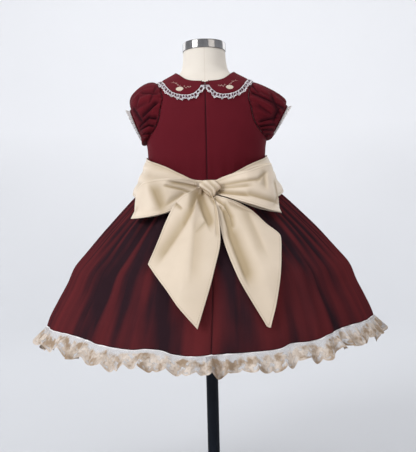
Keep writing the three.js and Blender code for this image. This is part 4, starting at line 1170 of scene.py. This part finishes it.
def hem_lace_points(turn, v):
    """Points of the flounce: out and down from the hem, with its wave and its scallops."""
    wander = 70 * np.sin(np.radians(turn * 7 + 30)) + 50 * np.sin(np.radians(turn * 17))
    beat = np.radians(turn * HEM_LACE["waves"] + wander)
    swell = 0.75 + 0.35 * np.sin(np.radians(turn * 9 + 80))
    wave = swell * (np.cos(beat) + 0.3 * np.cos(2 * beat + 1)) * mix(0.5, 6.2, v)
    tooth = np.abs(np.sin(np.radians(turn * HEM_LACE["scallops"] / 2))) ** 0.6
    long = 0.9 + 0.2 * np.abs(np.sin(np.radians(turn))) + 0.04 * np.sin(np.radians(turn * 7))
    uneven = 0.09 * np.sin(np.radians(turn * 23 + 60)) + 0.08 * np.sin(np.radians(turn * 37))
    drop = HEM_LACE["drop"] * v * (long + uneven) * (0.80 + 0.24 * tooth)
    radius = skirt_radius(turn, hem_height(turn)) - 1.0 + HEM_LACE["flare"] * v + wave
    lift = 3.0 * np.cos(beat) * v
    return from_skirt_axis(turn, radius, hem_height(turn) + 0.5 - drop + lift)


def flower_lace(wire):
    """Fine net under a close white heading, with a band of five-petalled flowers and leaves, one
    to a scallop, in fawn and pale thread. It reads the attributes beat, which counts scallops, and
    width, from 0 to 1."""
    beat, width = wire.field("beat"), wire.field("width")
    x = (wire.maths("FRACT", beat) - 0.5) * 0.95
    y = (width - 0.66) * 1.3
    radius = wire.maths("SQRT", x * x + y * y)
    angle = wire.maths("ARCTAN2", y, x)
    petals = wire.maths("COSINE", angle * 5) * 0.09 + 0.30
    flower = 1 - (radius - petals).between(-0.03, 0.05)
    outline = 1 - wire.maths("ABSOLUTE", radius - petals).between(0.015, 0.06)
    heart = 1 - radius.between(0.05, 0.1)
    leaf_x = wire.maths("ABSOLUTE", x) - 0.4
    leaf_y = width - 0.5
    leaf = 1 - (leaf_x * leaf_x * 30 + leaf_y * leaf_y * 60).between(0.7, 1.3)
    rim = width.between(0.86, 0.93)
    heading = 1 - width.between(0.055, 0.10)
    solid = wire.maths("MAXIMUM", wire.maths("MAXIMUM", flower, rim), leaf)
    across, down, _ = wire.parts(wire.cloth())
    turns = 2 * np.pi / NET_PITCH
    mesh = wire.maths("SINE", across * turns) * wire.maths("SINE", down * turns)
    holes = (mesh * mesh).between(0.12, 0.4)
    cloud = wire.clouds(wire.cloth(), 75.0, 4.0)
    patch = wire.clouds(wire.place(), 60.0, 3.0).between(0.42, 0.62)
    lower = (width + (cloud - 0.5) * 0.5).between(0.14, 0.3)
    worked = wire.maths("MAXIMUM", solid, lower * cloud.between(0.4, 0.55))
    tint = outline * 0.25 + heart * 0.25 + patch * 0.8 + cloud.between(0.42, 0.66) * 0.45
    thread = wire.blend(tint * lower, FLOWER_PALE, FLOWER_FAWN)
    raised = solid * 0.5 + outline * 0.6 + wire.weave(0.0008) * 0.3 + cloud * 0.4
    return {
        "Base Color": wire.blend(heading, wire.blend(worked * lower, NET, thread), HEADING),
        "Alpha": 1 - holes * (1 - worked) * (1 - heading) * 0.8,
        "Normal": wire.relief(raised, 0.0007, 0.9),
    }


turn, v = np.meshgrid(np.arange(180, 540, 0.25), np.linspace(0, 1, 18))
flounce = made_of(
    "hem_flounce", hem_lace_points(turn, v), ring=True,
    fields={"beat": turn / 360 * HEM_LACE["scallops"], "width": v},
)
beige_lace = finish_for("beige flower lace", LACE_CONSTANTS, flower_lace)
set_up(flounce, beige_lace, "hem_lace", "hem_lace")

# The sash
# A broad cream sateen band goes round the waist and is drawn together under the knot, so its
# soft lengthwise pleats run towards it. Below the waist it lies over the top of the skirt.
SASH = np.array(
    [
        (544, 168, 149, 2), (565, 147, 125, 2), (583, 132.5, 108, 2), (600, 123.5, 94, 2.1),
        (616, 115.5, 88, 2.3), (648, 104.5, 82.5, 2.4), (660, 104.5, 82.5, 2.4),
    ],
    dtype=[(name, float) for name in ("z", "wide", "deep", "square")],
)
SASH_EDGES = np.array(
    [(0, 602, 579), (12, 604, 576), (27, 614.5, 570), (44, 628, 568), (60, 637, 575),
     (90, 648, 586), (180, 650, 588)],
    dtype=[(name, float) for name in ("turn", "top", "bottom")],
)
SASH_PLEAT = 2.0
SASH_FADE = {"top": 572, "over": 26, "by": 9}
SATEEN = (0.735, 0.62, 0.492)
# The deep sateen colour is painted shade for creases and pleats.
SATEEN_SHADE = (0.40, 0.30, 0.175)


def sash_section(turn, z):
    """The sash's superellipse at a height."""
    return section(turn, *(through(SASH, name, z) for name in ("wide", "deep", "square")))


def sateen(wire):
    """Smooth warp-faced cloth: fine threads along it, a faint cloud, and a stitched line close to
    its edges that pulls the cloth in a little and is painted darker as its shade. The attribute
    fold is painted shade in the pleats and creases."""
    edge = wire.field("edge")
    line = 1 - wire.maths("ABSOLUTE", edge - 3.2).between(0.25, 1.0)
    x, y, _ = wire.parts(wire.cloth())
    stitch = wire.maths("SINE", (x + y) * (2 * np.pi / 0.0024)).between(-0.6, 0.2)
    seam = line * stitch
    cloud = wire.clouds(wire.place(), 22.0, 3.0)
    fuzz = wire.clouds(wire.place(), 1300.0)
    fold = wire.field("fold")
    # fold, seam and line are painted shade; cloud is the cloth's own faint unevenness.
    shade = cloud * 0.3 + seam * 0.25 + fold + line * 0.08 - 0.1
    threads = wire.weave(0.0005)
    return {
        "Base Color": wire.blend(shade, SATEEN, SATEEN_SHADE),
        "Roughness": fuzz * 0.1 + 0.4,
        "Normal": wire.relief(threads * 0.3 + fuzz * 0.4 - seam * 0.9 - line * 0.4, 0.00022, 0.8),
    }


cream_sateen = finish_for(
    "cream sateen",
    {"Specular IOR Level": 0.45, "Sheen Weight": 0.08, "Sheen Roughness": 0.4,
     "Sheen Tint": (0.9, 0.8, 0.65, 1)},
    sateen,
)
turn, v = np.meshgrid(np.arange(0, 360, 1.0), np.linspace(0, 1, 40))
away = np.abs(turned_by(turn, 0))
z = mix(through(SASH_EDGES, "top", away, "turn"), through(SASH_EDGES, "bottom", away, "turn"), v)
pleats = np.sin(np.pi * (3 * v + 0.16 * np.sin(np.radians(turn * 2 + 30)))) ** 2
pleats = SASH_PLEAT * pleats * smooth(away / 30)
small = 0.55 * np.sin(9 * np.pi * v + np.radians(turn * 3)) * np.exp(-(((away - 30) / 26) ** 2))
sash_points = from_skirt_axis(turn, sash_section(turn, z) + pleats + small, z)
# Painted shade in the sash's pleat troughs, and a little all over.
sash_pleat_shade = (1 - pleats / SASH_PLEAT) * 0.25 * smooth(away / 30) + 0.1
sash = made_of("sash_band", sash_points, ring=True, thick=1.2, fields={"fold": sash_pleat_shade})
set_up(sash, cream_sateen, "cream_sateen", "sash")

# The bow's loops
# Each loop is the sash's end, doubled back on itself and held by the knot. Its band leaves the
# knot narrow and pleated, spreads to its full width, turns round at the far end and comes back.
# Its creases are straight lines seen from behind, in millimetres.
LOOP_DTYPE = [(name, float) for name in ("along", "top", "bottom", "puff")]
LOOPS = {
    "left": {
        "root": -8, "far": -49, "tuck": 3,
        "edges": np.array(
            [(0, 600, 585, 4.1), (0.25, 606, 564, 4), (0.5, 606, 552, 7), (0.8, 602, 546, 11),
             (1, 588, 545, 11)], dtype=LOOP_DTYPE),
        "creases": ((-49, 600, -20, 594, 5, 4.0), (-58, 593, -38, 587, -4, 4.2),
                    (-38, 587, -26, 582, -4, 4.2), (-73.5, 584, -69, 568, -13, 5.0),
                    (-38, 580, -64, 561, 7, 3.6), (-66, 598, -60, 594, 5, 1.6),
                    (-104, 552, -100, 560, 4, 1.4)),
    },
    "right": {
        "root": 5.8, "far": 49, "tuck": 7,
        "edges": np.array(
            [(0, 600, 581, 4.1), (0.25, 609, 572.5, 6), (0.5, 616, 563, 10), (0.8, 625, 553, 12),
             (1, 628, 548.5, 11)], dtype=LOOP_DTYPE),
        "creases": ((20, 588.5, 53, 590.5, -5, 3.6), (17, 582, 52, 576.5, -5, 5.0),
                    (25, 593, 69, 600.5, -4, 3.8), (69, 600.5, 77, 609, -4, 4.0),
                    (77, 608, 78, 594, 6, 3.0), (58, 577, 93, 564, -6, 4.0),
                    (94, 565, 101, 572, -6, 3.8), (101, 571, 96, 593, -6, 2.6)),
    },
}
LOOP_OUT = 3.5
LOOP_ROOT_OUT = -2.4
LOOP_STIFF = 0.35
LOOP_LOW_Z = 556


def under_bow(turn, z):
    """What the bow lies on: the sash's outside or the skirt's, whichever is further out, with the
    step between them eased. The sash's part fades out below its edge."""
    fade = SASH_FADE["by"] * smooth((SASH_FADE["top"] - z) / SASH_FADE["over"])
    sash_out = sash_section(turn, z) + SASH_PLEAT - fade
    skirt_out = skirt_section(turn, z) + FOLD_MEAN + 2.2
    return (sash_out + skirt_out + np.hypot(sash_out - skirt_out, 4)) / 2


for name, bow_loop in LOOPS.items():
    way = np.sign(bow_loop["far"])
    angle, v = np.meshgrid(np.linspace(24, 336, 150), np.linspace(0, 1, 44))
    along = (1 - np.cos(np.radians(angle))) / 2
    edges = bow_loop["edges"]
    top, bottom, puff = (through(edges, key, along, "along") for key in ("top", "bottom", "puff"))
    turn = mix(bow_loop["root"], bow_loop["far"], along) - way * bow_loop["tuck"] * v * v * along
    z = mix(top, bottom, v)
    leaning = under_bow(turn, LOOP_LOW_Z) - LOOP_STIFF * (z - LOOP_LOW_Z)
    rest = mix(under_bow(turn, z), np.maximum(under_bow(turn, z), leaning), smooth(along * 2))
    out = mix(LOOP_ROOT_OUT, LOOP_OUT, smooth(along * 3))
    depth = puff * (1 + np.sin(np.radians(angle)))
    facing = np.where(angle < 180, 1.0, 0.35)
    across = (rest + out) * np.sin(np.radians(turn)) + skirt_lean(z)
    crease = creases(bow_loop["creases"], across, z) * facing
    pleat = 0.7 * np.sin(2 * np.pi * (3.5 * v + 0.2)) * np.exp(-along / 0.22)
    points = from_skirt_axis(turn, rest + out + depth - crease + pleat, z)
    # The attribute fold is painted shade in the loop's creases and next to the knot.
    loop_piece = made_of(
        f"loop_{name}", points, flip=way < 0, thick=1.0,
        fields={"fold": np.clip(crease / 5 + 0.2 * np.exp(-along / 0.12), 0, 1)},
    )
    set_up(loop_piece, cream_sateen, "cream_sateen", f"bow_loop_{name}")

# The knot
# A short end of the sash is wrapped tight round the bow's middle. It is a squared ellipsoid that
# narrows to its foot, and its pleats cross the front from upper left to lower right.
KNOT = {"at": (2.6, -114.8, 588.6), "half": (16.6, 11, 13.6), "foot": 4.4, "square": 3.2}

turn, height = np.meshgrid(np.arange(0, 360, 2), np.linspace(90, -90, 91))
sphere = np.stack(
    [
        np.cos(np.radians(height)) * np.sin(np.radians(turn)),
        -np.cos(np.radians(height)) * np.cos(np.radians(turn)),
        np.sin(np.radians(height)),
    ],
    axis=-1,
)
square = KNOT["square"]
ball = sphere / (np.abs(sphere) ** square).sum(axis=-1, keepdims=True) ** (1 / square)
across, up = ball[..., 0], ball[..., 2]
pleat = np.sin(8.6 * (0.95 * across + 0.62 * up) + 0.5 * np.sin(3 * up))
narrow = mix(0.26, 1.0, smooth((up + 1.0) / 1.35))
ball = ball * (1 + 0.075 * pleat * (1 - np.abs(up) ** 3))[..., None]
knot_points = ball * KNOT["half"] + KNOT["at"]
across = ball[..., 0] * KNOT["half"][0] * narrow
knot_points[..., 0] = KNOT["at"][0] + KNOT["foot"] * (1 - up) / 2 + across
# The attribute fold is painted shade in the knot's pleat troughs.
knot = made_of(
    "knot", knot_points, ring=True, merge=True, fields={"fold": np.clip(0.28 - 0.34 * pleat, 0, 1)}
)
set_up(knot, cream_sateen, "cream_sateen", "bow_knot")

# The bow's tails
# Two long ends fall from the knot over the skirt, pleated where they leave it, then open to their
# full width, and cut off on the slant, with a narrow stitched hem. Each is worked out between its
# two long edges and its cut, and laid on the skirt, with creases and one broad ridge down it.
TAIL_DTYPE = [(name, float) for name in ("share", "x", "z")]
TAIL_LOOSE = 1.4


def tail_edge(*places):
    """An edge's places, with their even shares from 0 to 1."""
    shares = np.linspace(0, 1, len(places))
    return np.array([(share, *place) for share, place in zip(shares, places)], dtype=TAIL_DTYPE)


TAILS = {
    "left": {
        "out": 4.6, "lift": 27.5, "flat": (0.12, 0.23), "cut_share": 0.6,
        "outer": tail_edge((-11, 592), (-45, 572.5), (-62, 543), (-75, 511), (-87, 481)),
        "inner": tail_edge((7, 577), (13.5, 557), (16.5, 516), (5, 468), (-17, 401)),
        "cut": tail_edge((-87, 481), (-52, 440), (-17, 401)),
        "creases": ((-5, 592, -13, 571.5, -5, 5.0), (-13, 571.5, -2, 541, -9, 7.0),
                    (1.5, 582, 11, 566, 4, 3.4), (-16.5, 579, -24, 554, 9, 4.6),
                    (-24, 554, -34, 537, 10, 4.4), (-50, 568, -41.5, 561, 4, 3.2),
                    (-36, 535, -63, 497, 13, 3.6), (-17.5, 529, -22, 478, -12, 1.8),
                    (-16, 526, 1, 543, 5, 2.6), (10, 560, 11, 522, -4, 2.2)),
        "ridge": (-20, 535, -37, 438, -52, 9.0),
    },
    "right": {
        "out": 2.4, "lift": 8, "flat": (0.10, 0.23), "cut_share": 0.55,
        "outer": tail_edge((13, 578), (38, 570), (62, 556), (84, 534), (105.5, 513), (102, 489),
                           (97, 465), (88.5, 431), (79, 398)),
        "inner": tail_edge((6, 573), (14, 545), (21, 512), (37, 467), (74, 400)),
        "cut": tail_edge((79, 398), (76.5, 398.5), (74, 400)),
        "creases": ((12.5, 571, 26, 560.5, -4, 4.4), (26, 560.5, 33.5, 545, -5, 5.0),
                    (33.5, 545, 35, 532, -5, 4.6), (19, 558, 25, 548, -3, 4.0),
                    (25, 548, 33, 513, -8, 5.6), (33, 513, 48, 470, -13, 5.4),
                    (37, 565, 58, 554, 5, 2.2), (60, 545, 74, 505, 12, 2.0)),
        "ridge": (60, 525, 84, 440, -45, 5.0),
    },
}

for name, tail in TAILS.items():
    u, v = np.meshgrid(np.linspace(0, 1, 64), np.linspace(0, 1, 130))
    place = {}
    for key in ("x", "z"):
        outer, inner = tail["outer"], tail["inner"]
        cut = through(tail["cut"], key, u, "share")
        straight = mix(mix(outer[key][0], inner[key][0], u), cut, v)
        left = through(outer, key, v, "share") - mix(outer[key][0], tail["cut"][key][0], v)
        right = through(inner, key, v, "share") - mix(inner[key][0], tail["cut"][key][2], v)
        place[key] = straight + mix(left, right, u)
    x, z = place["x"], place["z"]
    lift = tail["lift"] * smooth((z - 515) / 75) * smooth((np.abs(x) - 6) / 24)
    across = x - skirt_lean(z)
    turn = np.degrees(np.arctan2(across, through(SKIRT, "deep", z)))
    for _ in range(12):
        turn = np.degrees(np.arcsin(across / (under_bow(turn, z) + tail["out"] + lift)))
    crease = creases(tail["creases"], x, z)
    ridge = creases([tail["ridge"]], x, z) * smooth(v * 3)
    radius = under_bow(turn, z) + tail["out"] + lift - crease + ridge + TAIL_LOOSE
    points = from_skirt_axis(turn, radius, z)
    # The attribute fold is painted shade in the tail's creases, and a little all over the tail,
    # which faces down.
    piece = made_of(
        f"tail_{name}", points, flip=name == "right", thick=1.0,
        fields={"fold": np.clip(0.1 + crease / 5.0, 0, 1)},
    )
    set_up(piece, cream_sateen, "cream_sateen", f"bow_tail_{name}")
    wide, long = tail["flat"]
    tail["cut_share"] * wide * long

# The studio
# The form stands in the middle of a wide pale floor that curves up into a wall all round. Large
# soft lamps light it from the left, right, above and behind, as in a catalogue picture, and one
# more lights the wall.
FLOOR = {"flat": 1.9, "radius": 3.4, "height": 3.2}
FLOOR_PALE = (0.80, 0.807, 0.828)
# The floor's lower colour is painted shade.
FLOOR_SHADE = (0.55, 0.562, 0.585)
AIR = {"colour": (0.93, 0.95, 1.0, 1), "strength": 0.4}
CAMERA = {"distance": 1.085, "height": 0.560, "lens": 49.4, "pitch": 1.75, "roll": 1.41}

sweep = np.linspace(0, 90, 18)
bowl_radius = np.concatenate(
    [np.linspace(0, FLOOR["flat"], 8)[:-1],
     FLOOR["flat"] + (FLOOR["radius"] - FLOOR["flat"]) * np.sin(np.radians(sweep)),
     [FLOOR["radius"]]]
)
bowl_height = np.concatenate(
    [np.zeros(7), (FLOOR["radius"] - FLOOR["flat"]) * (1 - np.cos(np.radians(sweep))),
     [FLOOR["height"]]]
)
turn, row = np.meshgrid(np.arange(0, 360, 3), np.arange(len(bowl_radius)))
bowl = made_of(
    "studio_floor", polar(turn, bowl_radius[row] * 1000, bowl_height[row] * 1000),
    ring=True, merge=True,
)


def studio_paint(wire):
    """Pale matt paint, barely uneven, with painted shade that makes it greyer towards the floor."""
    cloud = wire.clouds(wire.place(), 1.2)
    _, _, height = wire.parts(wire.place())
    low = 1 - height.between(-0.25, 1.1) + cloud * 0.04
    return {"Base Color": wire.blend(low, FLOOR_PALE, FLOOR_SHADE)}


bowl.data.materials.append(
    finish_for("studio paint", {"Roughness": 1.0, "Specular IOR Level": 0.0}, studio_paint)
)


def lamp(name, place, aim, size, power, colour=(1, 1, 1)):
    """A square soft lamp at a place, turned towards its aim, both in metres."""
    light = bpy.data.lights.new(name, "AREA")
    light.size = size
    light.energy = power
    light.color = colour
    holder = bpy.data.objects.new(name, light)
    holder.location = place
    holder.rotation_euler = (Vector(aim) - Vector(place)).to_track_quat("-Z", "Y").to_euler()
    bpy.context.scene.collection.objects.link(holder)


lamp("key", (-1.9, -1.6, 1.7), (0, 0, 0.55), 1.2, 43)
lamp("fill", (1.6, -1.9, 1.4), (0, 0, 0.55), 1.4, 9, (1, 0.93, 0.84))
lamp("top", (0, 0.1, 2.9), (0, 0, 0.5), 2.2, 20)
lamp("wall", (0, 1.0, 2.6), (0, 3.2, 1.3), 1.6, 29)
lamp("rear_left", (-1.9, 1.7, 1.6), (0, 0, 0.6), 1.3, 10)
lamp("rear_right", (1.9, 1.7, 1.6), (0, 0, 0.6), 1.3, 10)

world = bpy.data.worlds.new("studio air")
world.use_nodes = True
background = world.node_tree.nodes["Background"]
background.inputs["Color"].default_value = AIR["colour"]
background.inputs["Strength"].default_value = AIR["strength"]
bpy.context.scene.world = world
bpy.context.scene.view_settings.view_transform = "Standard"

camera_data = bpy.data.cameras.new("camera")
camera_data.lens = CAMERA["lens"]
camera = bpy.data.objects.new("camera", camera_data)
camera.location = (0, -CAMERA["distance"], CAMERA["height"])
camera.rotation_mode = "XYZ"
camera.rotation_euler = np.radians((90 - CAMERA["pitch"], CAMERA["roll"], 0))
bpy.context.scene.collection.objects.link(camera)
bpy.context.scene.camera = camera
